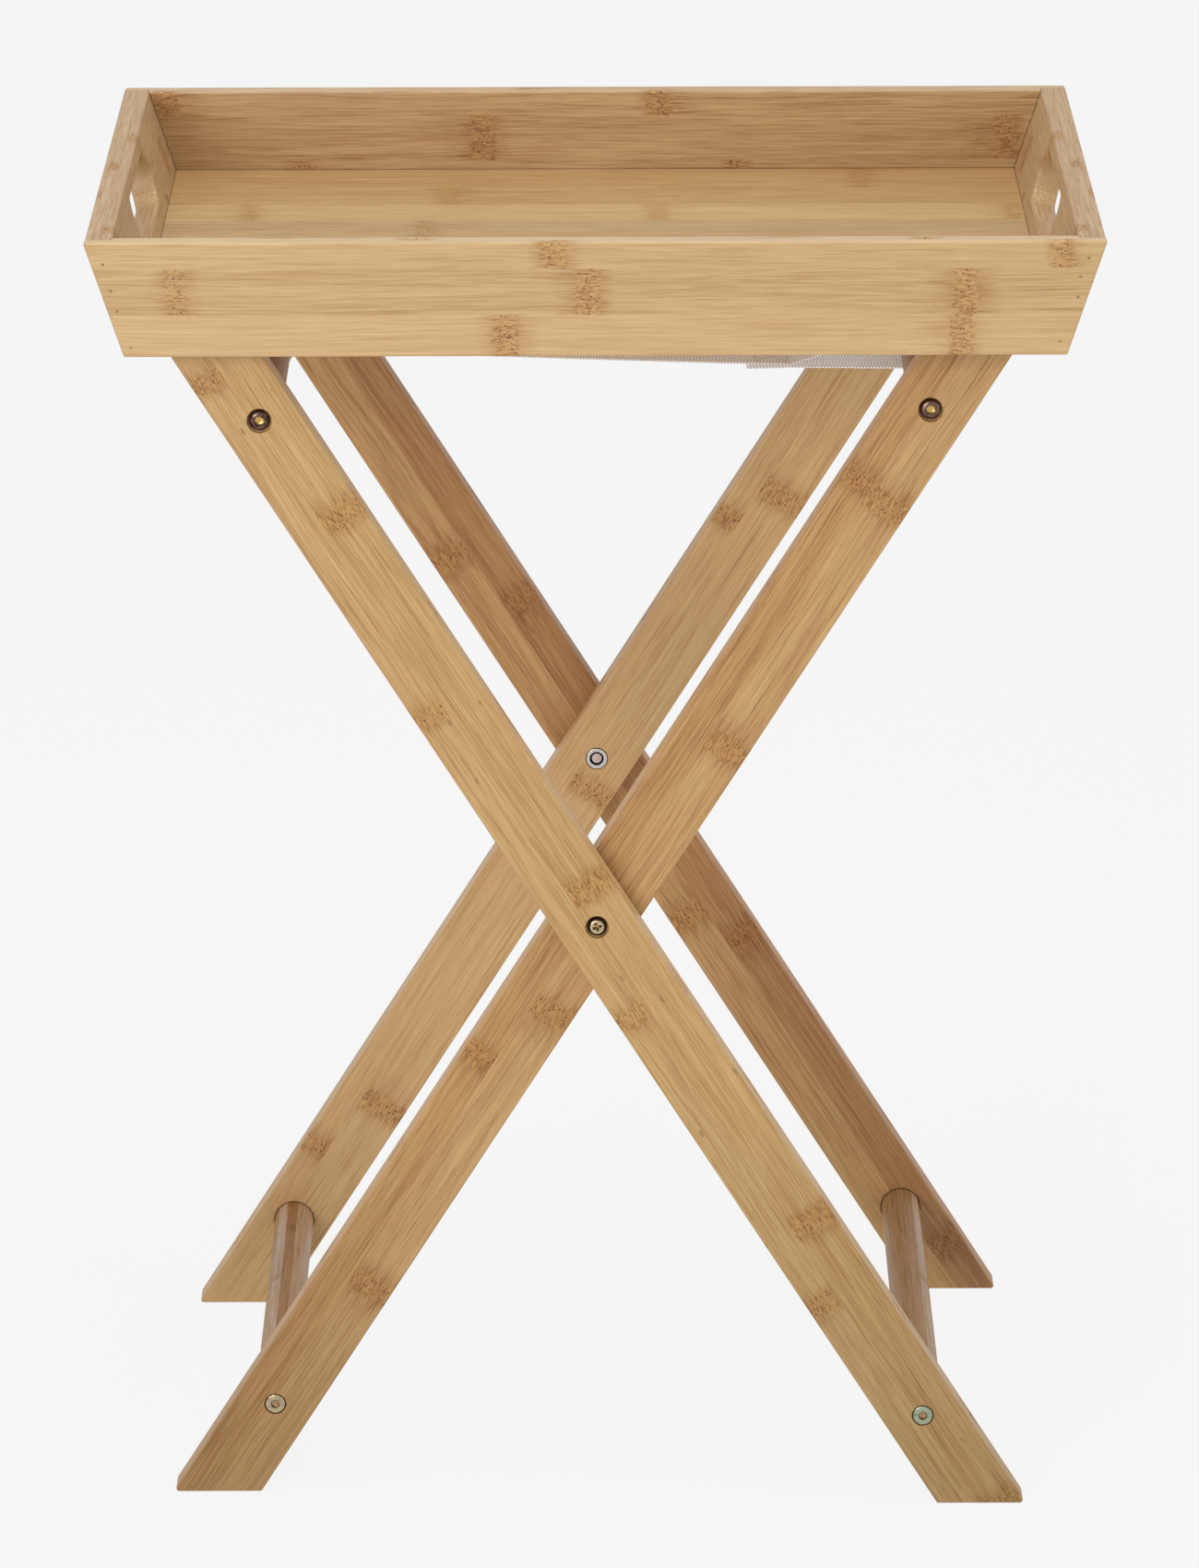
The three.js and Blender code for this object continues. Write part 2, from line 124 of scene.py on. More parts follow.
def inset_round(points, r, inset, steps):
    """A convex outline moved inwards by inset, with its corners rounded."""
    n = len(points)
    pts = [Vector(p) for p in points]
    area = sum(pts[i].x * pts[(i + 1) % n].y - pts[(i + 1) % n].x * pts[i].y for i in range(n))
    if area < 0:
        pts.reverse()
    lines = []
    for i in range(n):
        d = (pts[(i + 1) % n] - pts[i]).normalized()
        lines.append((pts[i] + Vector((-d.y, d.x)) * inset, d))
    corners = []
    for i in range(n):
        p, d = lines[i - 1]
        q, e = lines[i]
        t = (q - p).cross(e) / d.cross(e)
        corners.append(p + d * t)
    rr = max(r - inset, 0.08)
    out = []
    for i in range(n):
        p = corners[i]
        a = (corners[i - 1] - p).normalized()
        b = (corners[(i + 1) % n] - p).normalized()
        half = math.acos(max(-1, min(1, a.dot(b)))) / 2
        c = p + (a + b).normalized() * (rr / math.sin(half))
        s = p + a * (rr / math.tan(half)) - c
        e = p + b * (rr / math.tan(half)) - c
        a0 = math.atan2(s.y, s.x)
        da = math.atan2(e.y, e.x) - a0
        while da > pi:
            da -= 2 * pi
        while da < -pi:
            da += 2 * pi
        for k in range(steps + 1):
            t = a0 + da * k / steps
            out.append((c.x + rr * math.cos(t), c.y + rr * math.sin(t)))
    return out


def slab(name, points, y0, y1, r=1.5, ease=1.1, steps=4, seg=4):
    """An outline in X and Z given thickness along Y, its rims rounded over."""
    prof = []
    for k in range(seg + 1):
        a = k / seg * pi / 2
        prof.append((y0 + ease * (1 - math.cos(a)), ease * (1 - math.sin(a))))
    prof += [(y0 + y1 - y, i) for y, i in reversed(prof)]
    bm = bmesh.new()
    rings = []
    for y, inset in prof:
        rings.append([bm.verts.new((x, y, z)) for x, z in inset_round(points, r, inset, steps)])
    for a, b in zip(rings, rings[1:]):
        n = len(a)
        for i in range(n):
            bm.faces.new((a[i], a[(i + 1) % n], b[(i + 1) % n], b[i]))
    bm.faces.new(rings[0])
    bm.faces.new(list(reversed(rings[-1])))
    return finish_mesh(bm, name)


def lathe(bm, profile, cx, cz, seg=64, phase=0.0, thread=None):
    """Turns a profile of (radius, y) about an axis along Y. thread(y, angle) adds to the radius."""
    rings = []
    for r, y in profile:
        if r < 1e-6:
            rings.append([bm.verts.new((cx, y, cz))])
            continue
        ring = []
        for i in range(seg):
            t = phase + 2 * pi * i / seg
            rr = r + (thread(y, t) if thread else 0.0)
            ring.append(bm.verts.new((cx + rr * math.cos(t), y, cz + rr * math.sin(t))))
        rings.append(ring)
    for a, b in zip(rings, rings[1:]):
        n = max(len(a), len(b))
        for i in range(n):
            j = (i + 1) % n
            if len(a) == 1:
                bm.faces.new((a[0], b[j], b[i]))
            elif len(b) == 1:
                bm.faces.new((a[i], a[j], b[0]))
            else:
                bm.faces.new((a[i], a[j], b[j], b[i]))
    return rings


def bake(o):
    """Applies the modifiers."""
    dg = bpy.context.evaluated_depsgraph_get()
    dg.update()
    me = bpy.data.meshes.new_from_object(o.evaluated_get(dg))
    o.modifiers.clear()
    old = o.data
    o.data = me
    bpy.data.meshes.remove(old)


def drop(o):
    me = o.data
    bpy.data.objects.remove(o)
    bpy.data.meshes.remove(me)


def cut(o, *tools, operation="DIFFERENCE"):
    for t in tools:
        m = o.modifiers.new("cut", "BOOLEAN")
        m.object = t
        m.operation = operation
        m.solver = "EXACT"
    bake(o)
    for t in tools:
        drop(t)


def tidy(o, angle=32.0, weld=2e-6):
    """Welds, dissolves slivers, marks the sharp edges and keeps flat faces flat in the shading."""
    bm = bmesh.new()
    bm.from_mesh(o.data)
    bmesh.ops.remove_doubles(bm, verts=bm.verts, dist=weld)
    bmesh.ops.dissolve_degenerate(bm, dist=1e-6, edges=bm.edges)
    limit = math.radians(angle)
    for f in bm.faces:
        f.smooth = True
    for e in bm.edges:
        if len(e.link_faces) == 2:
            e.smooth = e.calc_face_angle(0) < limit
    bm.to_mesh(o.data)
    bm.free()
    m = o.modifiers.new("normals", "WEIGHTED_NORMAL")
    m.keep_sharp = True
    m.weight = 80


def grain(o, origin, u, v, w):
    """Stores where each point is in its board (along the grain, across it, down from the shown face), in mm,
    and which kind of face each face is: 0 broad face, 0.5 eased edge, 1 narrow side, 2 end."""
    org, u, v, w = Vector(origin), Vector(u).normalized(), Vector(v).normalized(), Vector(w).normalized()
    me = o.data
    at = me.attributes.new("grain", "FLOAT_VECTOR", "POINT")
    flat = []
    for vert in me.vertices:
        p = vert.co * 1000 - org
        flat += [p.dot(u), p.dot(v), p.dot(w)]
    at.data.foreach_set("vector", flat)
    kind = me.attributes.new("face_kind", "FLOAT", "FACE")
    values = []
    for f in me.polygons:
        nu, nv, nw = abs(f.normal.dot(u)), abs(f.normal.dot(v)), abs(f.normal.dot(w))
        if nw > 0.97:
            values.append(0.0)
        elif nu > 0.75:
            values.append(2.0)
        elif nv > 0.9:
            values.append(1.0)
        else:
            values.append(0.5)
    kind.data.foreach_set("value", values)


def place(o, body, node, slot, *materials):
    for m in materials:
        o.data.materials.append(m)
    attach(o, body)
    if node:
        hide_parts(*([node] if isinstance(node, str) else node))
    return o


# ---------------------------------------------------------------- materials
def lin(r, g, b):
    def f(c):
        c /= 255
        return c / 12.92 if c <= 0.04045 else ((c + 0.055) / 1.055) ** 2.4
    return (f(r), f(g), f(b))


class Mat:
    """A small builder for shader node trees."""

    def __init__(self, name):
        self.m = bpy.data.materials.new(name)
        self.m.use_nodes = True
        self.t = self.m.node_tree
        self.t.nodes.clear()
        self.bsdf = self.new("ShaderNodeBsdfPrincipled")
        out = self.new("ShaderNodeOutputMaterial")
        self.t.links.new(self.bsdf.outputs[0], out.inputs[0])

    def new(self, kind, **props):
        n = self.t.nodes.new(kind)
        for k, v in props.items():
            setattr(n, k, v)
        return n

    def put(self, socket, value):
        if isinstance(value, bpy.types.NodeSocket):
            self.t.links.new(value, socket)
        elif isinstance(value, (tuple, list)) and socket.type == "RGBA" and len(value) == 3:
            socket.default_value = (*value, 1.0)
        else:
            socket.default_value = value

    def math(self, op, a, b=0.0, c=0.0, clamp=False):
        n = self.new("ShaderNodeMath", operation=op, use_clamp=clamp)
        for i, x in enumerate((a, b, c)):
            self.put(n.inputs[i], x)
        return n.outputs[0]

    def vec(self, op, a, b=(0, 0, 0), c=(0, 0, 0)):
        n = self.new("ShaderNodeVectorMath", operation=op)
        self.put(n.inputs[0], a)
        if op == "SCALE":
            self.put(n.inputs[3], b)
        else:
            self.put(n.inputs[1], b)
            if op == "MULTIPLY_ADD":
                self.put(n.inputs[2], c)
        return n.outputs[1] if op in ("LENGTH", "DISTANCE", "DOT_PRODUCT") else n.outputs[0]

    def sep(self, v):
        n = self.new("ShaderNodeSeparateXYZ")
        self.put(n.inputs[0], v)
        return n.outputs[0], n.outputs[1], n.outputs[2]

    def comb(self, x, y, z):
        n = self.new("ShaderNodeCombineXYZ")
        for i, a in enumerate((x, y, z)):
            self.put(n.inputs[i], a)
        return n.outputs[0]

    def noise(self, v, scale=1.0, detail=2.0, rough=0.5, dist=0.0):
        n = self.new("ShaderNodeTexNoise", noise_dimensions="3D")
        self.put(n.inputs["Vector"], v)
        self.put(n.inputs["Scale"], scale)
        self.put(n.inputs["Detail"], detail)
        self.put(n.inputs["Roughness"], rough)
        self.put(n.inputs["Distortion"], dist)
        return n.outputs[0]

    def voronoi(self, v, scale=1.0, rand=1.0, feature="F1"):
        n = self.new("ShaderNodeTexVoronoi", feature=feature)
        self.put(n.inputs["Vector"], v)
        self.put(n.inputs["Scale"], scale)
        self.put(n.inputs["Randomness"], rand)
        return n.outputs["Distance"]

    def white(self, w):
        n = self.new("ShaderNodeTexWhiteNoise", noise_dimensions="1D")
        self.put(n.inputs["W"], w)
        return n.outputs["Value"], n.outputs["Color"]

    def ramp(self, fac, stops, interp="LINEAR"):
        n = self.new("ShaderNodeValToRGB")
        n.color_ramp.interpolation = interp
        el = n.color_ramp.elements
        while len(el) > 1:
            el.remove(el[-1])
        el[0].position = stops[0][0]
        el[0].color = (*stops[0][1], 1.0)
        for p, c in stops[1:]:
            e = el.new(p)
            e.color = (*c, 1.0)
        self.put(n.inputs[0], fac)
        return n.outputs[0]

    def mix(self, fac, a, b, blend="MIX"):
        n = self.new("ShaderNodeMix", data_type="RGBA", blend_type=blend)
        self.put(n.inputs[0], fac)
        self.put(n.inputs[6], a)
        self.put(n.inputs[7], b)
        return n.outputs[2]

    def remap(self, v, a, b, c=0.0, d=1.0, smooth=False):
        n = self.new("ShaderNodeMapRange", interpolation_type="SMOOTHSTEP" if smooth else "LINEAR")
        self.put(n.inputs[0], v)
        for i, x in enumerate((a, b, c, d)):
            self.put(n.inputs[i + 1], x)
        return n.outputs[0]

    def attr(self, name):
        n = self.new("ShaderNodeAttribute", attribute_type="GEOMETRY", attribute_name=name)
        return n

    def bump(self, height, strength, distance):
        n = self.new("ShaderNodeBump")
        n.inputs["Strength"].default_value = strength
        n.inputs["Distance"].default_value = distance
        self.put(n.inputs["Height"], height)
        return n.outputs[0]

    def set(self, **kw):
        names = {"color": "Base Color", "metallic": "Metallic", "rough": "Roughness", "normal": "Normal",
                 "specular": "Specular IOR Level", "coat": "Coat Weight", "coat_rough": "Coat Roughness",
                 "sheen": "Sheen Weight", "sheen_rough": "Sheen Roughness", "ior": "IOR",
                 "subsurface": "Subsurface Weight"}
        for k, v in kw.items():
            self.put(self.bsdf.inputs[names[k]], v)
        return self.m


def bamboo(name, bounds, tints, marks, span, ply=5.2, seed=0.0, contrast=1.0, mark_dark=1.0, specks=0.0,
           side=(1.06, 1.08, 1.14), side_sheen_mix=0.6, fine=1.0, rough=0.43, fade=None,
           line_dark=0.7):
    """Laminated bamboo. bounds are the joints between strips across the board, tints one colour a strip,
    marks one list a strip of (place along the grain, strength, halo behind, halo ahead), span the board's extent."""
    k = Mat(name)
    g = k.attr("grain").outputs["Vector"]
    kind = k.attr("face_kind").outputs["Fac"]
    u, v, w = k.sep(g)
    # the grain wanders a little
    wander = k.noise(k.vec("MULTIPLY", g, (0.0055, 0.02, 0.02)), detail=1.0)
    v1 = k.math("MULTIPLY_ADD", k.math("SUBTRACT", wander, 0.5), 5.0, v)
    # which ply and which strip
    p = k.math("FLOOR", k.math("DIVIDE", k.math("MAXIMUM", w, 0.0), ply))
    vs = k.math("MULTIPLY_ADD", p, 6.4, v)
    us = k.math("PINGPONG", k.math("ADD", k.math("MULTIPLY_ADD", p, 71.0, u), 2000.0 - 0.0), 4000.0)
    us = k.math("SUBTRACT", us, 2000.0)
    over = [k.math("GREATER_THAN", vs, b) for b in bounds]
    strip = p
    strip = k.math("MULTIPLY", p, 11.0)
    for o_ in over:
        strip = k.math("ADD", strip, o_)
    rnd, rndc = k.white(k.math("ADD", strip, seed))
    off = k.vec("SCALE", rndc, 90.0)
    q = k.vec("ADD", k.comb(u, v1, w), off)
    # streaks
    s1 = k.noise(k.vec("MULTIPLY", q, (0.015, 0.95, 0.95)), detail=3.0, rough=0.62)
    s2 = k.noise(k.vec("MULTIPLY", q, (0.045, 3.1, 3.1)), detail=2.0, rough=0.6)
    s3 = k.noise(k.vec("MULTIPLY", q, (0.0045, 0.12, 0.12)), detail=1.0)
    dashes = k.noise(k.vec("MULTIPLY", q, (0.085, 1.15, 1.15)), detail=2.0, rough=0.6, dist=0.35)
    # node marks
    lo, hi = span
    wob = k.noise(k.comb(k.math("MULTIPLY", v, 0.22), k.math("MULTIPLY", w, 0.22), rnd), detail=2.0)
    t = k.math("MULTIPLY_ADD", k.math("SUBTRACT", wob, 0.5), 9.0, us)
    t = k.math("DIVIDE", k.math("SUBTRACT", t, lo), hi - lo)
    chosen = None
    for i, row in enumerate(marks):
        pts = {}

        def put_stop(x, c):
            x = (x - lo) / (hi - lo)
            if 0.0 <= x <= 1.0:
                pts[round(x, 5)] = c
        row = sorted(row)
        pts[0.0] = (0, 0, 0)
        for j, (x, s, back, ahead) in enumerate(row):
            put_stop(x - back, (0, 0, 0))
            put_stop(x - 7.8, (0, 0.75 * s, 0))
            put_stop(x - 4.8, (s, 0.95 * s, 0.2))
            put_stop(x, (s, 0.85 * s, 1.0))
            put_stop(x + 4.8, (s, 0.95 * s, 0.2))
            put_stop(x + 7.8, (0, 0.75 * s, 0))
            put_stop(x + ahead, (0, 0, 0))
        stops = sorted(pts.items())[:32]
        r = k.ramp(t, stops)
        chosen = r if chosen is None else k.mix(over[i - 1], chosen, r)
    core, halo, ridge = k.sep(chosen)
    tint = tints[0]
    for i, c in enumerate(tints[1:]):
        tint = k.mix(over[i], tint, c)
    # tone from the streaks
    near = k.math("MINIMUM", k.math("MULTIPLY", halo, 1.5), 0.85)
    s1 = k.math("MULTIPLY_ADD", k.math("SUBTRACT", dashes, s1), near, s1)
    tone = k.math("MULTIPLY_ADD", k.math("SUBTRACT", s1, 0.5), 1.25 * contrast, 0.5)
    tone = k.math("MULTIPLY_ADD", k.math("SUBTRACT", s2, 0.5), 1.15 * fine * contrast, tone)
    tone = k.math("MULTIPLY_ADD", k.math("SUBTRACT", s3, 0.5), 0.40 * contrast, tone)
    tone = k.math("MULTIPLY_ADD", k.math("SUBTRACT", rnd, 0.5), 0.16, tone)
    tone = k.math("MULTIPLY_ADD", halo, -0.30 * mark_dark, tone)
    shade = k.ramp(tone, [(0.0, (0.53, 0.40, 0.29)), (0.22, (0.80, 0.71, 0.60)), (0.5, (1.0, 1.0, 1.0)),
                          (0.78, (1.13, 1.18, 1.24)), (1.0, (1.25, 1.36, 1.48))])
    colour = k.mix(1.0, tint, shade, "MULTIPLY")
    # thin dark fibre lines
    line = k.noise(k.vec("MULTIPLY", q, (0.020, 1.9, 1.9)), detail=3.0, rough=0.62)
    lines = k.remap(line, 0.565, 0.61)
    colour = k.mix(k.math("MULTIPLY", lines, line_dark), colour, k.mix(1.0, colour, (0.70, 0.53, 0.36), "MULTIPLY"))
    # inside a node mark: stacked wavy veins with pale lips, and open pores
    flame = k.noise(k.vec("MULTIPLY", q, (0.17, 0.95, 0.95)), detail=1.5, rough=0.5, dist=0.8)
    wave_ = k.math("PINGPONG", k.math("MULTIPLY", flame, 3.4), 0.5)
    veins = k.remap(wave_, 0.16, 0.07)
    lips = k.remap(wave_, 0.28, 0.42)
    ragged = k.noise(k.vec("MULTIPLY", q, (0.16, 0.80, 0.80)), detail=2.0)
    amount = k.remap(k.math("ADD", core, k.math("MULTIPLY", k.math("SUBTRACT", ragged, 0.5), 1.7)), 0.15, 0.62)
    amount = k.math("MULTIPLY", amount, k.math("MINIMUM", k.math("MULTIPLY", core, 2.2), 1.0))
    colour = k.mix(k.math("MULTIPLY", amount, 0.70 * mark_dark), colour, k.mix(1.0, tint, (0.80, 0.63, 0.41), "MULTIPLY"))
    colour = k.mix(k.math("MULTIPLY", k.math("MULTIPLY", amount, lips), 0.60 * mark_dark), colour,
                   k.mix(1.0, tint, (1.14, 1.12, 0.98), "MULTIPLY"))
    colour = k.mix(k.math("MULTIPLY", k.math("MULTIPLY", amount, veins), 0.85 * mark_dark), colour,
                   k.mix(1.0, tint, (0.42, 0.24, 0.12), "MULTIPLY"))
    pore_d = k.voronoi(k.vec("MULTIPLY", q, (0.30, 0.42, 0.04)), rand=0.85)
    pores = k.math("MULTIPLY", k.remap(pore_d, 0.24, 0.15), k.remap(ridge, 0.35, 0.55))
    pores = k.math("MULTIPLY", pores, k.remap(core, 0.2, 0.5))
    colour = k.mix(k.math("MULTIPLY", pores, 0.9 * mark_dark), colour, k.mix(1.0, tint, (0.22, 0.12, 0.07), "MULTIPLY"))
    # painted shade: fade darkens the colour towards one end along the grain, the foot of a leg, where less light
    # reaches
    if fade:
        u0, u1, low = fade
        f_ = k.remap(u, u0, u1, smooth=True)
        colour = k.mix(k.math("SUBTRACT", 1.0, f_), colour, k.mix(1.0, colour, low, "MULTIPLY"))
    if specks:
        sd = k.voronoi(k.vec("MULTIPLY", q, (0.030, 0.075, 0.075)))
        sp = k.remap(sd, 0.085, 0.05)
        colour = k.mix(k.math("MULTIPLY", sp, specks), colour, k.mix(1.0, tint, (0.42, 0.38, 0.34), "MULTIPLY"))
    # narrow sides: painted sheen, the side colour multiplied paler and cooler as where the sides catch the light at a
    # grazing angle; the plies show as layers with thin glue lines between
    layer = k.math("PINGPONG", k.math("MAXIMUM", w, 0.0), ply / 2)
    glue = k.remap(layer, 0.30, 0.08)
    is_side = k.math("MULTIPLY", k.remap(kind, 0.55, 0.95), k.remap(kind, 1.9, 1.1))
    side_sheen_and_glue = k.mix(1.0, colour, side, "MULTIPLY")
    side_sheen_and_glue = k.mix(k.math("MULTIPLY", glue, 0.28), side_sheen_and_glue, k.mix(1.0, tint, (0.62, 0.5, 0.4), "MULTIPLY"))
    colour = k.mix(k.math("MULTIPLY", is_side, side_sheen_mix), colour, side_sheen_and_glue)
    # eased edges: painted highlight, a little lighter and cooler, as where they catch the light
    is_edge = k.math("MULTIPLY", k.math("GREATER_THAN", kind, 0.3), k.math("LESS_THAN", kind, 0.7))
    edge_highlight_noise = k.noise(k.vec("MULTIPLY", g, (0.05, 0.4, 0.4)), detail=2.0)
    colour = k.mix(k.math("MULTIPLY", is_edge, k.remap(edge_highlight_noise, 0.35, 0.7, 0.1, 0.5)), colour,
                   k.mix(1.0, colour, (1.22, 1.26, 1.34), "MULTIPLY"))
    # end grain: dots of fibre bundles
    dots = k.voronoi(k.comb(k.math("MULTIPLY", u, 0.25), k.math("MULTIPLY", v, 1.5), k.math("MULTIPLY", w, 1.9)))
    endc = k.mix(k.remap(dots, 0.18, 0.45), k.mix(1.0, tint, (0.50, 0.38, 0.28), "MULTIPLY"),
                 k.mix(1.0, tint, (0.93, 0.90, 0.86), "MULTIPLY"))
    is_end = k.math("GREATER_THAN", kind, 1.5)
    colour = k.mix(k.math("MULTIPLY", is_end, 0.8), colour, endc)
    # lacquer
    height = k.math("MULTIPLY_ADD", s2, 0.45, k.math("MULTIPLY", s1, 0.5))
    height = k.math("MULTIPLY_ADD", lines, -0.22, height)
    height = k.math("MULTIPLY_ADD", k.math("MULTIPLY", amount, veins), -0.45, height)
    height = k.math("MULTIPLY_ADD", pores, -0.9, height)
    rg = k.math("MULTIPLY_ADD", s2, 0.14, rough - 0.07)
    rg = k.math("MULTIPLY_ADD", amount, 0.12, rg)
    return k.set(color=colour, rough=rg, normal=k.bump(height, 0.35, 0.00018), specular=0.5)


def metal(name, colours, rough=0.32, spread=0.10, scale=260.0, brushed=False, bump=0.15):
    """Plated or zinc-coated steel: the colour drifts, the surface is slightly uneven."""
    k = Mat(name)
    pos = k.new("ShaderNodeTexCoord").outputs["Object"]
    drift = k.noise(k.vec("MULTIPLY", pos, (scale, scale, scale)), detail=3.0, rough=0.6, dist=0.8)
    n = len(colours)
    colour = k.ramp(drift, [(0.33 + 0.34 * i / max(1, n - 1), c) for i, c in enumerate(colours)])
    fineg = k.noise(k.vec("MULTIPLY", pos, (2600, 2600, 2600)), detail=3.0, rough=0.7)
    grime = k.noise(k.vec("MULTIPLY", pos, (700, 700, 700)), detail=4.0, rough=0.7)
    colour = k.mix(k.remap(grime, 0.55, 0.72, 0.0, 0.45), colour, (0.06, 0.045, 0.035))
    rg = k.math("ADD", k.math("MULTIPLY", k.math("SUBTRACT", fineg, 0.5), spread * 2), rough)
    return k.set(color=colour, metallic=1.0, rough=rg, normal=k.bump(fineg, bump, 0.00005))


# board colours
FACE = lin(203, 166, 114)
# painted sheen: the side multipliers make the narrow sides and rims paler and bluer, as where they catch the light
side_sheen_pale = (1.15, 1.28, 1.60)
LEG_SIDE_SHEEN = (1.42, 1.54, 1.92)
# painted shade: these fade tuples darken each leg's colour towards its foot, where less light reaches
LEG_FOOT_SHADE = (-430, -60, (0.72, 0.71, 0.69))
REAR_FOOT_SHADE = (-430, -100, (0.85, 0.85, 0.83))
M_front = bamboo("bamboo_front_board", [22, 46], [lin(200, 165, 117), lin(199, 166, 118), lin(197, 163, 114)],
                 [[(-46, 0.9, 16, 18), (188, 0.7, 25, 12)], [(-215, 0.5, 14, 14), (-4, 0.8, 20, 14), (190, 0.8, 22, 20)],
                  [(-21, 0.95, 14, 16), (240, 0.7, 10, 16)]], (-265, 265), seed=3.0, contrast=0.72, mark_dark=0.95, line_dark=0.26,
                 side=(1.26, 1.42, 1.80), side_sheen_mix=0.85)
# painted shade: the back board's tints are darker than the front board's, standing in for the shade on its inner face
# behind the front board
M_back_painted_shade = bamboo("bamboo_back_board", [21, 46], [lin(182, 148, 104), lin(180, 145, 101), lin(184, 150, 106)],
                [[(-163, 0.8, 14, 14), (78, 0.9, 10, 10)], [(-63, 1.0, 24, 18), (229, 0.9, 40, 10)],
                 [(-238, 0.9, 10, 26), (36, 0.8, 12, 30)]], (-265, 265), seed=9.0, contrast=1.15, line_dark=0.6, side=(1.42, 1.58, 1.98), side_sheen_mix=0.85)
M_ends = bamboo("bamboo_end_board", [22, 43], [lin(188, 155, 112), lin(190, 158, 116), lin(190, 159, 118)],
                [[(-120, 0.7, 20, 20), (96, 0.6, 20, 12)], [(-40, 0.6, 20, 20), (150, 0.7, 12, 20)],
                 [(-165, 0.6, 12, 16), (60, 0.7, 20, 20)]], (-200, 200), seed=21.0, contrast=0.9, side=(1.15, 1.15, 1.22), side_sheen_mix=0.7)
M_floor = bamboo("bamboo_tray_floor", [-150, -110, -70, -30, 12, 52, 92, 132],
                 [lin(203, 168, 117), lin(198, 163, 113), lin(206, 170, 118), lin(198, 163, 115), lin(204, 168, 117),
                  lin(197, 163, 114), lin(205, 170, 114), lin(199, 163, 111), lin(196, 159, 108)],
                 [[(-150, 0.4, 18, 18)], [(120, 0.4, 18, 18)], [(-60, 0.4, 18, 18)], [(180, 0.4, 18, 18)],
                  [(-175, 0.45, 20, 14), (-15, 0.4, 16, 12), (65, 0.35, 12, 10), (215, 0.35, 12, 18)],
                  [(-92, 0.4, 12, 16)], [(-188, 0.45, 16, 16), (34, 0.4, 14, 14), (228, 0.4, 14, 10)],
                  [(-80, 0.45, 12, 20)], [(147, 0.4, 12, 14)]], (-245, 245), ply=6.0, seed=31.0, contrast=0.9,
                 mark_dark=1.0, rough=0.40, fine=1.35)
M_leg_af = bamboo("bamboo_leg_front_outer", [-3], [lin(196, 160, 106), lin(194, 157, 102)],
                  [[(-243, 0.6, 14, 10), (-52, 0.6, 12, 14), (145, 0.55, 10, 12), (358, 0.6, 10, 12)],
                   [(-392, 0.9, 10, 14), (-200, 0.9, 14, 10), (21, 0.9, 12, 12), (261, 0.85, 12, 16)]],
                  (-400, 400), seed=40.0, contrast=0.95, specks=0.6, side=LEG_SIDE_SHEEN, side_sheen_mix=0.85, fade=LEG_FOOT_SHADE)
M_leg_ar = bamboo("bamboo_leg_rear_outer", [1], [lin(188, 146, 94), lin(172, 126, 78)],
                  [[(-112, 1.0, 16, 26), (138, 1.0, 14, 18), (330, 0.8, 14, 14)],
                   [(-359, 0.9, 18, 14), (-138, 0.9, 26, 16), (97, 0.9, 34, 14), (300, 0.8, 14, 14)]],
                  (-400, 400), seed=52.0, contrast=1.15, side=LEG_SIDE_SHEEN, side_sheen_mix=0.85, fade=REAR_FOOT_SHADE)
M_leg_bf = bamboo("bamboo_leg_front_inner", [-3], [lin(188, 146, 91), lin(191, 151, 98)],
                  [[(-99, 0.75, 12, 12), (275, 0.85, 12, 14)],
                   [(-241, 0.9, 22, 16), (-59, 0.9, 24, 14), (115, 0.9, 16, 22), (270, 0.9, 16, 24)]],
                  (-400, 400), seed=64.0, contrast=1.12, line_dark=0.85, side=LEG_SIDE_SHEEN, side_sheen_mix=0.85,
                  fade=(-430, -60, (0.68, 0.66, 0.63)))
M_leg_br = bamboo("bamboo_leg_rear_inner", [-6], [lin(197, 158, 107), lin(198, 160, 109)],
                  [[(-281, 0.75, 16, 16), (158, 0.75, 12, 14)],
                   [(-241, 0.8, 12, 22), (-17, 0.65, 10, 10), (184, 0.8, 12, 14)]],
                  (-400, 400), seed=77.0, contrast=0.85, side=LEG_SIDE_SHEEN, side_sheen_mix=0.85, fade=(-430, -100, (0.79, 0.77, 0.73)))
M_dowel = bamboo("dowel_wood", [-7, -2, 4], [lin(178, 146, 116), lin(158, 114, 66), lin(182, 152, 124), lin(166, 126, 82)],
                 [[(-60, 0.5, 30, 30)], [(95, 0.6, 40, 30)], [(20, 0.5, 30, 30)], [(-110, 0.6, 30, 30)]], (-175, 175), ply=7.0, seed=90.0,
                 contrast=1.25, side=(1.0, 1.0, 1.0), side_sheen_mix=0.0, mark_dark=0.8, rough=0.46)

BRONZE = metal("bronzed_steel", [lin(62, 46, 40), lin(104, 82, 72), lin(140, 112, 98), lin(92, 78, 88)], rough=0.34)
ZINC_Y = metal("yellow_passivated_zinc", [lin(206, 184, 108), lin(216, 204, 160), lin(192, 158, 148), lin(166, 182, 148)],
               rough=0.28, scale=320.0)
ZINC_G = metal("clear_passivated_zinc", [lin(132, 150, 124), lin(196, 202, 180), lin(164, 178, 142), lin(210, 204, 180)],
               rough=0.30, scale=320.0)
SILVER = metal("nickel_ring", [lin(224, 222, 216), lin(242, 240, 235), lin(228, 225, 219)], rough=0.34)
# painted shade: a near-black metal for the faces inside the pivot nut's bore
NUT_BORE_SHADE = metal("nut_bore_painted_shade", [lin(34, 30, 28), lin(52, 46, 42), lin(28, 26, 26)], rough=0.5)
HEAD_BROWN = metal("browned_head", [lin(58, 42, 32), lin(92, 70, 54), lin(44, 34, 28)], rough=0.4)
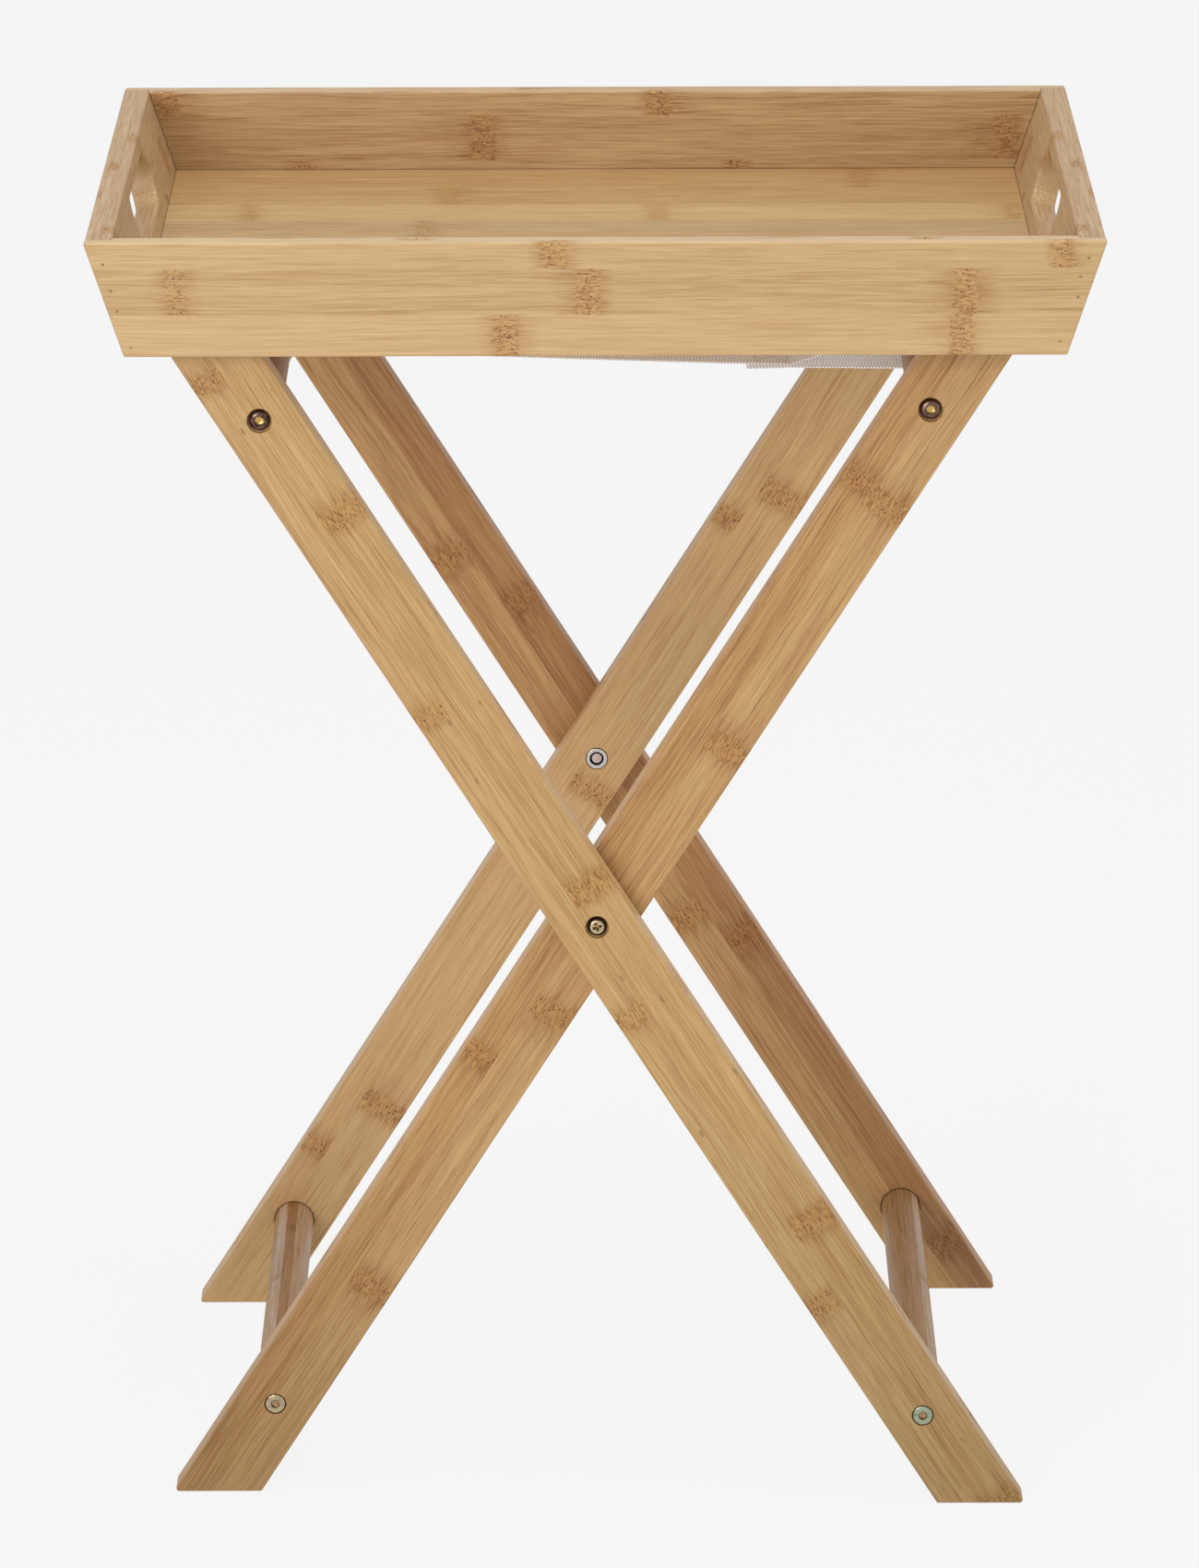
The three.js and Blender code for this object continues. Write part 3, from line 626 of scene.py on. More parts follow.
# painted highlight: a paler metal for the pivot head's centre, standing in for a reflection
HEAD_CENTRE_HIGHLIGHT = metal("head_centre_painted_highlight", [lin(206, 190, 148), lin(228, 214, 178), lin(176, 156, 112)], rough=0.28)
PINK = metal("zinc_thread_end", [lin(226, 202, 196), lin(240, 222, 214), lin(212, 196, 188)], rough=0.38)
BRASS = metal("brass_insert", [lin(176, 138, 70), lin(204, 168, 96), lin(150, 118, 62)], rough=0.30)
STEEL = metal("brad_steel", [lin(186, 146, 104), lin(206, 168, 124), lin(160, 122, 86)], rough=0.5)
GOLD = metal("socket_floor", [lin(214, 164, 84), lin(236, 196, 120), lin(190, 140, 70)], rough=0.26)
UMBER = metal("socket_floor_brown", [lin(150, 120, 84), lin(196, 164, 120), lin(96, 74, 52)], rough=0.30)
# painted shade: a dark metal for the mouths and walls of the hex sockets
SOCKET_WALL_SHADE = metal("socket_wall_painted_shade", [lin(58, 44, 30), lin(84, 64, 42), lin(40, 32, 26)], rough=0.42)
WASHER = metal("washer_zinc", [lin(150, 150, 148), lin(186, 186, 184), lin(160, 160, 158)], rough=0.36)


# ---------------------------------------------------------------- legs
def bolt_hole(bm, x, z, s, y_out, y_in, cbore_r):
    """Counterbore with an eased mouth, clearance hole and dowel socket on one axis."""
    prof = [(0, y_out + s * 2), (cbore_r + 0.35, y_out + s * 2), (cbore_r + 0.35, y_out + s * 0.02),
            (cbore_r + 0.16, y_out - s * 0.12), (cbore_r, y_out - s * 0.36), (cbore_r, y_out - s * CBORE_DEEP),
            (HOLE_R, y_out - s * CBORE_DEEP), (HOLE_R, y_in + s * SOCKET_DEEP), (SOCKET_R, y_in + s * SOCKET_DEEP),
            (SOCKET_R, y_in + s * 0.30), (SOCKET_R + 0.08, y_in + s * 0.10), (SOCKET_R + 0.22, y_in - s * 0.02),
            (SOCKET_R + 0.22, y_in - s * 2), (0, y_in - s * 2)]
    lathe(bm, prof, x, z, 80)


def pivot_hole(bm, z, s, y_out, y_in, frame_name):
    if frame_name == "a":
        r = 6.2
        prof = [(0, y_out + s * 2), (r + 0.35, y_out + s * 2), (r + 0.35, y_out + s * 0.02), (r + 0.16, y_out - s * 0.12),
                (r, y_out - s * 0.36), (r, y_out - s * CBORE_DEEP), (3.12, y_out - s * CBORE_DEEP),
                (3.12, y_in - s * 2), (0, y_in - s * 2)]
    else:
        r = 6.35
        prof = [(0, y_out + s * 2), (3.12, y_out + s * 2), (3.12, y_in + s * 4.3), (r, y_in + s * 4.3),
                (r, y_in + s * 0.36), (r + 0.16, y_in + s * 0.12), (r + 0.35, y_in - s * 0.02),
                (r + 0.35, y_in - s * 2), (0, y_in - s * 2)]
    lathe(bm, prof, 0, z, 80)


def leg(frame_name, where, material):
    d = -1 if frame_name == "a" else 1
    out = A_OUT if frame_name == "a" else B_OUT
    s = -1 if where == "front" else 1
    y_out, y_in = s * out, s * (out - LEG_T)
    hw = LEG_W / 2 / SIN
    run = PIVOT_Z * COS / SIN
    pts = [(-d * run - hw, 0), (-d * run + hw, 0), (d * run + hw, LEG_TOP), (d * run - hw, LEG_TOP)]
    node = f"frame_{frame_name}_leg_{where}"
    o = slab(node + "_wood", pts, min(y_out, y_in), max(y_out, y_in))
    bm = bmesh.new()
    bolt_hole(bm, d * DOWEL_X, DOWEL_TOP_Z, s, y_out, y_in, 6.5)
    bolt_hole(bm, -d * DOWEL_X, DOWEL_BOT_Z, s, y_out, y_in, 5.9)
    pivot_hole(bm, PIVOT_Z, s, y_out, y_in, frame_name)
    cut(o, finish_mesh(bm, "tool"))
    tidy(o)
    y_seen = y_out if where == "front" else y_in
    grain(o, (0, y_seen, PIVOT_Z), (d * COS, 0, SIN), (SIN, 0, -d * COS), (0, 1, 0))
    place(o, "frame_" + frame_name, node, "bamboo_leg", material)
    return o


leg("a", "front", M_leg_af)
leg("a", "rear", M_leg_ar)
leg("b", "front", M_leg_bf)
leg("b", "rear", M_leg_br)


# ---------------------------------------------------------------- tray boards
BRADS = {"l": [(688.9, 6.5), (674.9, 5.6), (664.3, 5.2), (645.0, 5.4)],
         "r": [(691.0, 6.7), (681.3, 7.6), (670.6, 5.2), (647.2, 6.3)]}


def brad_list():
    for face, s in (("front", -1), ("rear", 1)):
        for side, sx in (("l", -1), ("r", 1)):
            for i, (z, inset) in enumerate(BRADS[side]):
                yield face, s, side, sx * (outer_x(z) - inset), z, f"tray_brad_{face}_{side}{i + 1}"


def box_tool(x0, x1, y0, y1, z0, z1):
    bm = bmesh.new()
    bmesh.ops.create_cube(bm, size=1)
    for v in bm.verts:
        v.co = Vector((x0 + (v.co.x + 0.5) * (x1 - x0), y0 + (v.co.y + 0.5) * (y1 - y0), z0 + (v.co.z + 0.5) * (z1 - z0)))
    return finish_mesh(bm, "tool")


def prism_tool(points, y0, y1):
    bm = bmesh.new()
    a = [bm.verts.new((x, y0, z)) for x, z in points]
    b = [bm.verts.new((x, y1, z)) for x, z in points]
    bm.faces.new(a)
    bm.faces.new(list(reversed(b)))
    for i in range(len(a)):
        j = (i + 1) % len(a)
        bm.faces.new((a[i], a[j], b[j], b[i]))
    return finish_mesh(bm, "tool")


def long_board(face, material):
    s = -1 if face == "front" else 1
    y_out, y_in = s * TRAY_D / 2, s * (TRAY_D / 2 - BOARD_T)
    pts = [(-TRAY_W_BOT / 2, TRAY_BOT), (TRAY_W_BOT / 2, TRAY_BOT), (TRAY_W_TOP / 2, TRAY_TOP), (-TRAY_W_TOP / 2, TRAY_TOP)]
    node = "tray_front_board" if face == "front" else "tray_back_board"
    o = slab(node + "_wood", pts, min(y_out, y_in), max(y_out, y_in), r=1.0 if face == "front" else 1.6, ease=1.2)
    yr0, yr1 = s * (TRAY_D / 2 - BOARD_T - 1), s * (TRAY_D / 2 - BOARD_T + REBATE)
    tools = []
    for side in (-1, 1):
        z0, z1 = TRAY_BOT - 2, TRAY_TOP + 2
        tools.append(prism_tool([(side * (inner_x(z0) - 0.32), z0), (side * (outer_x(z0) + 4), z0),
                                 (side * (outer_x(z1) + 4), z1), (side * (inner_x(z1) - 0.32), z1)],
                                min(yr0, yr1), max(yr0, yr1)))
    yg = s * (TRAY_D / 2 - BOARD_T + GROOVE)
    tools.append(box_tool(-TRAY_W_TOP, TRAY_W_TOP, min(yr0, yg), max(yr0, yg), FLOOR_BOT - 0.3, FLOOR_TOP + 0.22))
    bm = bmesh.new()
    for f, s2, side, x, z, name in brad_list():
        if f == face:
            lathe(bm, [(0, s * (TRAY_D / 2 + 1)), (0.78, s * (TRAY_D / 2 + 1)), (0.78, s * (TRAY_D / 2 + 0.01)),
                       (0.66, s * (TRAY_D / 2 - 0.14)), (0.62, s * (TRAY_D / 2 - 0.5)), (0.62, s * (TRAY_D / 2 - BOARD_T)),
                       (0, s * (TRAY_D / 2 - BOARD_T))], x, z, 20)
    tools.append(finish_mesh(bm, "tool"))
    cut(o, *tools)
    tidy(o)
    y_seen = y_out if face == "front" else y_in
    grain(o, (0, y_seen, TRAY_BOT), (1, 0, 0), (0, 0, 1), (0, 1, 0))
    place(o, "tray", node, "bamboo_board", material)
    return o


def stadium(r, half, n=24):
    pts = []
    for k in range(n + 1):
        t = -pi / 2 + pi * k / n
        pts.append((half + r * math.cos(t), r * math.sin(t)))
    for k in range(n + 1):
        t = pi / 2 + pi * k / n
        pts.append((-half + r * math.cos(t), r * math.sin(t)))
    return pts


def end_board(side, material):
    name = "tray_left_end" if side < 0 else "tray_right_end"
    pts = [(side * inner_x(TRAY_BOT), TRAY_BOT), (side * outer_x(TRAY_BOT), TRAY_BOT),
           (side * outer_x(TRAY_TOP), TRAY_TOP), (side * inner_x(TRAY_TOP), TRAY_TOP)]
    o = slab(name + "_wood", pts, -END_Y, END_Y, r=1.3, ease=0.25, steps=5, seg=2)
    groove = prism_tool([(side * (inner_x(FLOOR_TOP) - 3), FLOOR_BOT - 0.3), (side * (inner_x(FLOOR_TOP) + GROOVE), FLOOR_BOT - 0.3),
                         (side * (inner_x(FLOOR_TOP) + GROOVE), FLOOR_TOP + 0.22), (side * (inner_x(FLOOR_TOP) - 3), FLOOR_TOP + 0.22)],
                        -END_Y - 1, END_Y + 1)
    # the slot tool: one loft through the board that flares at both faces
    r = SLOT_H / 2
    half = SLOT_L / 2 - r
    up = Vector((side * math.sin(TILT), 0, math.cos(TILT)))
    outward = Vector((side * math.cos(TILT), 0, -math.sin(TILT)))
    centre = Vector((side * inner_x(TRAY_TOP), 0, TRAY_TOP)) - up * SLOT_DROP
    steps = []
    e = SLOT_EASE
    steps.append((-4.0, e + 0.6))
    for k in range(7):
        a = k / 6 * pi / 2
        steps.append((e * (1 - math.cos(a)) - 0.02, e * (1 - math.sin(a))))
    steps += [(BOARD_T - d, g) for d, g in reversed(steps)]
    bm = bmesh.new()
    rings = []
    for depth, grow in steps:
        ring = []
        for a, b in stadium(r + grow, half, 28):
            ring.append(bm.verts.new(centre + Vector((0, 1, 0)) * a + up * b + outward * depth))
        rings.append(ring)
    for a, b in zip(rings, rings[1:]):
        n = len(a)
        for i in range(n):
            bm.faces.new((a[i], a[(i + 1) % n], b[(i + 1) % n], b[i]))
    bm.faces.new(rings[0])
    bm.faces.new(list(reversed(rings[-1])))
    slot_tool = finish_mesh(bm, "tool")
    bm = bmesh.new()
    for f, s, sd, x, z, nm in brad_list():
        if (sd == "l") == (side < 0):
            lathe(bm, [(0, s * END_Y * 1.05), (1.0, s * END_Y * 1.05), (1.0, s * (TRAY_D / 2 - 27)), (0, s * (TRAY_D / 2 - 27))],
                  x, z, 16)
    cut(o, groove, slot_tool, finish_mesh(bm, "tool"))
    tidy(o)
    grain(o, (side * inner_x(TRAY_BOT), 0, TRAY_BOT), (0, 1, 0), tuple(up), tuple(outward))
    place(o, "tray", name, "bamboo_board", material)
    return o


def tray_floor(material):
    lo, hi = mmbox("tray_floor")
    px, py = inner_x(FLOOR_TOP) - 0.18, TRAY_D / 2 - BOARD_T - 0.14
    z1, zs, zb = hi[2], hi[2] - 0.6, lo[2]
    bm = bmesh.new()

    def ring(x, y, z):
        return [bm.verts.new((a * x, b * y, z)) for a, b in ((-1, -1), (1, -1), (1, 1), (-1, 1))]
    prof = [(hi[0] - 0.25, hi[1] - 0.25, zb), (hi[0], hi[1], zb + 0.25), (hi[0], hi[1], zs - 0.2), (hi[0] - 0.2, hi[1] - 0.2, zs),
            (px, py, zs), (px, py, z1 - 0.15), (px - 0.1, py - 0.1, z1)]
    rings = [ring(*p) for p in prof]
    for a, b in zip(rings, rings[1:]):
        for i in range(4):
            bm.faces.new((a[i], a[(i + 1) % 4], b[(i + 1) % 4], b[i]))
    bm.faces.new(rings[0])
    bm.faces.new(list(reversed(rings[-1])))
    o = finish_mesh(bm, "tray_floor_wood")
    tidy(o)
    grain(o, (0, 0, FLOOR_TOP), (1, 0, 0), (0, 1, 0), (0, 0, -1))
    place(o, "tray", "tray_floor", "bamboo_board", material)


long_board("front", M_front)
long_board("rear", M_back_painted_shade)
end_board(-1, M_ends)
end_board(1, M_ends)
tray_floor(M_floor)

for face, s, side, x, z, node in brad_list():
    y0 = s * (TRAY_D / 2 - 0.36)
    bm = bmesh.new()
    lathe(bm, [(0, y0 + s * 0.1), (0.34, y0 + s * 0.07), (0.50, y0 - s * 0.04), (0.56, y0 - s * 0.2), (0.56, y0 - s * 1.4),
               (0.52, y0 - s * 1.7), (0.52, y0 - s * 22.0), (0.26, y0 - s * 24.2), (0, y0 - s * 24.9)], x, z, 20)
    o = finish_mesh(bm, node + "_pin")
    tidy(o)
    place(o, "tray", node, "steel_brad", STEEL)


# ---------------------------------------------------------------- dowels
def dowel(node, body, material, phase):
    lo, hi = mmbox(node)
    cx, cz, half = (lo[0] + hi[0]) / 2, (lo[2] + hi[2]) / 2, hi[1]
    e = 0.7
    prof = [(0, -half + 42), (3.3, -half + 42), (3.3, -half + 16.5), (5.2, -half + 16.5), (5.2, -half + 0.3), (5.5, -half),
            (DOWEL_R - e, -half)]
    prof += [(DOWEL_R - e + e * math.sin(a), -half + e * (1 - math.cos(a))) for a in (pi / 8, pi / 4, 3 * pi / 8, pi / 2)]
    n = 40
    mid = [(DOWEL_R, -half + e + (2 * half - 2 * e) * i / n) for i in range(1, n)]
    prof = prof + mid + [(r, -y) for r, y in reversed(prof)]

    def wave(y, t):
        return 0.05 * math.sin(y * 0.021 + phase) + 0.03 * math.sin(2 * t + y * 0.011 + phase)
    bm = bmesh.new()
    lathe(bm, prof, cx, cz, 96, thread=lambda y, t: wave(y, t) if abs(y) < half - 8 else 0.0)
    o = finish_mesh(bm, node + "_turned")
    tidy(o)
    a = phase
    grain(o, (cx, 0, cz), (0, 1, 0), (math.cos(a), 0, math.sin(a)), (-math.sin(a), 0, math.cos(a)))
    at = o.data.attributes["face_kind"]
    at.data.foreach_set("value", [2.0 if abs(f.normal.y) > 0.8 else 0.0 for f in o.data.polygons])
    place(o, body, node, "dowel_wood", material)


dowel("frame_a_dowel_top", "frame_a", M_dowel, 0.4)
dowel("frame_a_dowel_bottom", "frame_a", M_dowel, 2.2)
dowel("frame_b_dowel_top", "frame_b", M_dowel, 1.3)
dowel("frame_b_dowel_bottom", "frame_b", M_dowel, 3.6)


# ---------------------------------------------------------------- fasteners, head towards -Y
def helix(pitch, depth, y0, y1, handed=1):
    def f(y, t):
        if y < y0 or y > y1:
            return 0.0
        fade = min(1.0, (y - y0) / pitch, (y1 - y) / pitch)
        ph = (y / pitch - handed * t / (2 * pi)) % 1.0
        return -depth * fade * abs(2 * ph - 1)
    return f


def rows(y0, y1, step):
    n = max(1, int(round((y1 - y0) / step)))
    return [y0 + (y1 - y0) * i / n for i in range(n + 1)]


def hex_tool(af, y0, y1, turn, lead=0.5):
    bm = bmesh.new()
    r = af / math.sqrt(3)
    rings = []
    for rr, y in ((r + 0.0, y0), (r, y1)):
        rings.append([bm.verts.new((rr * math.cos(turn + i * pi / 3), y, rr * math.sin(turn + i * pi / 3))) for i in range(6)])
    tip = bm.verts.new((0, y1 + 0.7, 0))
    a, b = rings
    for i in range(6):
        j = (i + 1) % 6
        bm.faces.new((a[i], a[j], b[j], b[i]))
        bm.faces.new((b[i], b[j], tip))
    bm.faces.new(list(reversed(a)))
    return finish_mesh(bm, "tool")


def set_at(o, x, y, z, where):
    m = Matrix.Translation(Vector((x, y, z)) * MM)
    if where == "rear":
        m = m @ Matrix.Rotation(pi, 4, "Z")
    o.data.transform(m)
    o.data.update()


def socket_bolt(name, head_r, domed, turn):
    h = 3.1
    if domed:
        head = [(0, -h), (head_r * 0.52, -h)]
        for k in range(1, 9):
            a = k / 8 * pi / 2
            head.append((head_r * 0.52 + (head_r - 0.05 - head_r * 0.52) * math.sin(a), -h + (h - 0.55) * (1 - math.cos(a))))
        head += [(head_r, -0.45), (head_r, -0.12), (head_r - 0.12, 0)]
    else:
        head = [(0, -h), (head_r - 0.75, -h), (head_r - 0.40, -h + 0.07), (head_r - 0.12, -h + 0.30), (head_r, -h + 0.62),
                (head_r, -0.15), (head_r - 0.15, 0)]
    shank = [(3.05, 0), (2.9, 0.25)] + [(2.9, y) for y in rows(1.0, 43.6, 1.0 / 6)] + [(2.4, 44.6), (2.1, 45), (0, 45)]
    bm = bmesh.new()
    lathe(bm, head + shank, 0, 0, 40, thread=helix(1.0, 0.42, 14.0, 44.0))
    o = finish_mesh(bm, name)
    mouth = bmesh.new()
    r = 4.2 / math.sqrt(3)
    lathe(mouth, [(0, -h - 1), (r + 1.0, -h - 1.0), (r + 0.02, -h - 0.01), (r - 0.35, -h + 0.26), (0, -h + 0.26)], 0, 0, 40)
    cut(o, finish_mesh(mouth, "tool"), hex_tool(4.2, -h - 1, -h + 1.9, turn))
    tidy(o, 34)
    # painted shade: the socket's mouth and upper walls take the dark metal (material 1), its deeper part material 2
    for f in o.data.polygons:
        c = f.center * 1000
        if math.hypot(c.x, c.z) < r + 0.35 and -h + 0.03 < c.y < -h + 3:
            f.material_index = 2 if c.y > -h + 1.8 else 1
    return o


def cross_bolt(name, length, turn):
    h, hr = 3.0, 5.2
    head = [(0, -h), (hr * 0.5, -h)]
    for k in range(1, 9):
        a = k / 8 * pi / 2
        head.append((hr * 0.5 + (hr - hr * 0.5) * math.sin(a), -h + (h - 0.5) * (1 - math.cos(a))))
    head += [(hr, -0.15), (hr - 0.15, 0)]
    shank = [(3.0, 0), (2.95, 0.3)] + [(2.95, y) for y in rows(1.0, length - 0.9, 1.0 / 6)] + [(2.86, length - 0.14), (2.72, length), (0, length)]
    bm = bmesh.new()
    lathe(bm, head + shank, 0, 0, 40, thread=helix(1.0, 0.40, length - 9.0, length - 0.6))
    o = finish_mesh(bm, name)
    tools = []
    for q in (0, pi / 2):
        bm = bmesh.new()
        pts = []
        for y, half_len, half_w in ((-h - 0.6, 2.95, 0.72), (-h + 2.2, 0.9, 0.42)):
            pts.append([(half_len, half_w), (half_len * 0.8, half_w * 1.15), (-half_len * 0.8, half_w * 1.15), (-half_len, half_w),
                        (-half_len, -half_w), (-half_len * 0.8, -half_w * 1.15), (half_len * 0.8, -half_w * 1.15), (half_len, -half_w)])
            pts[-1] = [(a, y, b) for a, b in pts[-1]]
        c, s_ = math.cos(turn + q), math.sin(turn + q)
        rings = [[bm.verts.new((a * c - b * s_, y, a * s_ + b * c)) for a, y, b in ring] for ring in pts]
        for i in range(8):
            j = (i + 1) % 8
            bm.faces.new((rings[0][i], rings[0][j], rings[1][j], rings[1][i]))
        bm.faces.new(rings[0])
        bm.faces.new(list(reversed(rings[1])))
        tools.append(finish_mesh(bm, "tool"))
    cut(o, *tools)
    tidy(o, 34)
    return o


def turned_ring(name, profile, seg=64, thread=None):
    """A closed ring: the profile comes back to its first point."""
    bm = bmesh.new()
    rings = lathe(bm, profile, 0, 0, seg, thread=thread)
    a, b = rings[-1], rings[0]
    n = len(a)
    for i in range(n):
        j = (i + 1) % n
        bm.faces.new((a[i], a[j], b[j], b[i]))
    o = finish_mesh(bm, name)
    tidy(o, 34)
    return o


for f in ("a", "b"):
    d = -1 if f == "a" else 1
    out = A_OUT if f == "a" else B_OUT
    half = A_DOWEL_HALF if f == "a" else B_DOWEL_HALF
    for where, s in (("front", -1), ("rear", 1)):
        yb = s * (out - CBORE_DEEP + 0.1)
        for level, x, z in (("top", d * DOWEL_X, DOWEL_TOP_Z), ("bottom", -d * DOWEL_X, DOWEL_BOT_Z)):
            node = f"frame_{f}_bolt_{level}_{where}"
            o = socket_bolt(node + "_plated", 5.6 if level == "top" else 5.4, level == "top", rng.uniform(0, pi / 3))
            set_at(o, x, yb, z, where)
            if level == "top":
                place(o, "frame_" + f, node, "bronze_bolt", BRONZE, SOCKET_WALL_SHADE, GOLD)
            else:
                place(o, "frame_" + f, node, "zinc_bolt", ZINC_G if f == "a" else ZINC_Y, SOCKET_WALL_SHADE, UMBER)
            node = f"frame_{f}_insert_{level}_{where}"
            th = helix(2.2, 0.7, 1.0, 14.0)
            ys = rows(0.6, 14.4, 0.4)
            prof = [(3.25, 0.3), (3.45, 0.0), (4.6, 0.0), (4.85, 0.3)] + [(4.85, y) for y in ys] + [(4.85, 14.7), (4.6, 15.0), (3.45, 15.0), (3.25, 14.7)]
            prof += [(3.25, y) for y in reversed(rows(1.2, 13.8, 1.4))]
            o = turned_ring(node + "_turned", prof, 40, thread=lambda y, t, th=th: 0.0)
            # the coarse outer thread
            for v in o.data.vertices:
                r = math.hypot(v.co.x, v.co.z) * 1000
                if r > 4.7:
                    k_ = (r + th(v.co.y * 1000, math.atan2(v.co.z, v.co.x))) / r
                    v.co.x *= k_
                    v.co.z *= k_
            set_at(o, x, s * (half - 0.3), z, where)
            place(o, "frame_" + f, node, "brass_insert", BRASS)

for where, s in (("front", -1), ("rear", 1)):
    length = A_OUT - CBORE_DEEP - (B_OUT - LEG_T) - 1
    node = f"pivot_bolt_{where}"
    o = cross_bolt(node + "_plated", length, math.radians(18))
    o.data.materials.append(BRONZE)
    o.data.materials.append(HEAD_CENTRE_HIGHLIGHT)
    o.data.materials.append(PINK)
    o.data.materials.append(UMBER)
    o.data.materials.append(HEAD_BROWN)
    # painted highlight: the head's flat centre round the cross takes the paler metal (material 1)
    for p in o.data.polygons:
        c = p.center * 1000
        r = math.hypot(c.x, c.z)
        if c.y > length - 1.0:
            p.material_index = 2
        elif c.y < -2.86 and r < 3.4:
            p.material_index = 1
        elif c.y < -0.35 and r < 3.3 and c.y > -2.9:
            p.material_index = 3
        elif c.y < 0.05:
            p.material_index = 4
    set_at(o, 0, s * (A_OUT - CBORE_DEEP + 0.1), PIVOT_Z, where)
    place(o, "frame_a", node, "bronze_bolt")
    node = f"pivot_nut_{where}"
    o = turned_ring(node + "_plated", [(3.2, 0.2), (3.4, 0.0), (5.5, 0.0), (5.7, 0.2), (5.8, 1.6), (5.9, 2.0), (5.9, 3.7), (5.80, 3.90), (5.60, 4.0),
                                       (4.15, 4.0), (3.98, 3.95), (3.9, 3.8), (3.85, 2.2), (3.5, 1.9), (3.2, 1.8)])
    for p in o.data.polygons:
        # painted shade: the faces inside the nut's bore take the near-black metal
        c = p.center * 1000
        if math.hypot(c.x, c.z) < 3.95 and c.y > 0.3:
            p.material_index = 1
    set_at(o, 0, s * (B_OUT - LEG_T + 4.1), PIVOT_Z, where)
    place(o, "frame_a", node, "zinc_bolt", SILVER, NUT_BORE_SHADE)
    node = f"pivot_washer_{where}"
    o = turned_ring(node + "_plated", [(3.35, 0.12), (3.5, 0.0), (7.75, 0.0), (8.0, 0.25), (8.0, 1.2), (7.85, 1.38), (3.45, 1.38), (3.35, 1.25)])
    set_at(o, 0, s * ((A_OUT - LEG_T + B_OUT) / 2 + 0.7), PIVOT_Z, where)
    place(o, "frame_a", node, "steel_washer", WASHER)


# ---------------------------------------------------------------- strap: one length of ribbed webbing
STRAP_W, STRAP_T = 30.0, 1.4
RC = DOWEL_R + 0.45 + STRAP_T / 2


def arc(cx, cz, r, a0, a1, step=3.0):
    n = max(2, int(abs(a1 - a0) / math.radians(step)))
    return [(cx + r * math.cos(a0 + (a1 - a0) * i / n), cz + r * math.sin(a0 + (a1 - a0) * i / n)) for i in range(n + 1)]


SEW_L = 13.3 - DOWEL_X


def run_z(x):
    """Height of the main run: a straight pull with the slight sag of webbing."""
    t = (105.0 - x) / (105.0 - SEW_L)
    return 591.5 + 0.0357 * (105.0 - x) - 2.4 * t * (1.0 - t)


def strap_path():
    zt = DOWEL_TOP_Z
    right_lo, right_hi = (105.0, 590.0), (105.0, 591.5)
    left_lo, left_hi = (SEW_L, run_z(SEW_L)), (SEW_L, run_z(SEW_L) + 1.5)
    # right loop: in along the bottom, round, back along the top
    def tangents(px, pz, cx, sgn):
        dd = math.hypot(px - cx, pz - zt)
        to = math.atan2(pz - zt, px - cx)
        return to + sgn * math.acos(RC / dd)
    path = [(81.0, 589.35), (92.0, 589.75), right_lo]
    a_in = tangents(*right_lo, DOWEL_X, 1)
    a_out = tangents(*right_hi, DOWEL_X, -1)
    while a_in > -pi / 4:
        a_in -= 2 * pi
    while a_out < a_in:
        a_out += 2 * pi
    path += arc(DOWEL_X, zt, RC, a_in, a_out)
    path += [right_hi]
    # main run, with the slight sag of webbing
    n = 30
    for i in range(1, n):
        x = right_hi[0] + (left_lo[0] - right_hi[0]) * i / n
        path.append((x, run_z(x)))
    path += [left_lo]
    b_in = tangents(*left_lo, -DOWEL_X, -1)
    b_out = tangents(*left_hi, -DOWEL_X, 1)
    while b_in > 0:
        b_in -= 2 * pi
    while b_out > b_in:
        b_out -= 2 * pi
    path += arc(-DOWEL_X, zt, RC, b_in, b_out)
    path += [left_hi] + [(SEW_L + d, run_z(SEW_L + d) + 1.45) for d in (4.0, 8.0, 12.0, 16.0, 20.0, 23.5)]
    return path


def resample(path, step):
    pts = [Vector(p) for p in path]
    lens = [0.0]
    for a, b in zip(pts, pts[1:]):
        lens.append(lens[-1] + (b - a).length)
    total = lens[-1]
    n = int(total / step)
    out = []
    j = 0
    for i in range(n + 1):
        s_ = total * i / n
        while j < len(lens) - 2 and lens[j + 1] < s_:
            j += 1
        t = (s_ - lens[j]) / max(1e-9, lens[j + 1] - lens[j])
        out.append(pts[j].lerp(pts[j + 1], t))
    return out, total


def smooth(pts, times):
    for _ in range(times):
        pts = [pts[0]] + [pts[i - 1] * 0.25 + pts[i] * 0.5 + pts[i + 1] * 0.25 for i in range(1, len(pts) - 1)] + [pts[-1]]
    return pts


PITCH = 1.72
line, STRAP_LEN = resample(strap_path(), PITCH / 4)
line = smooth(line, 10)


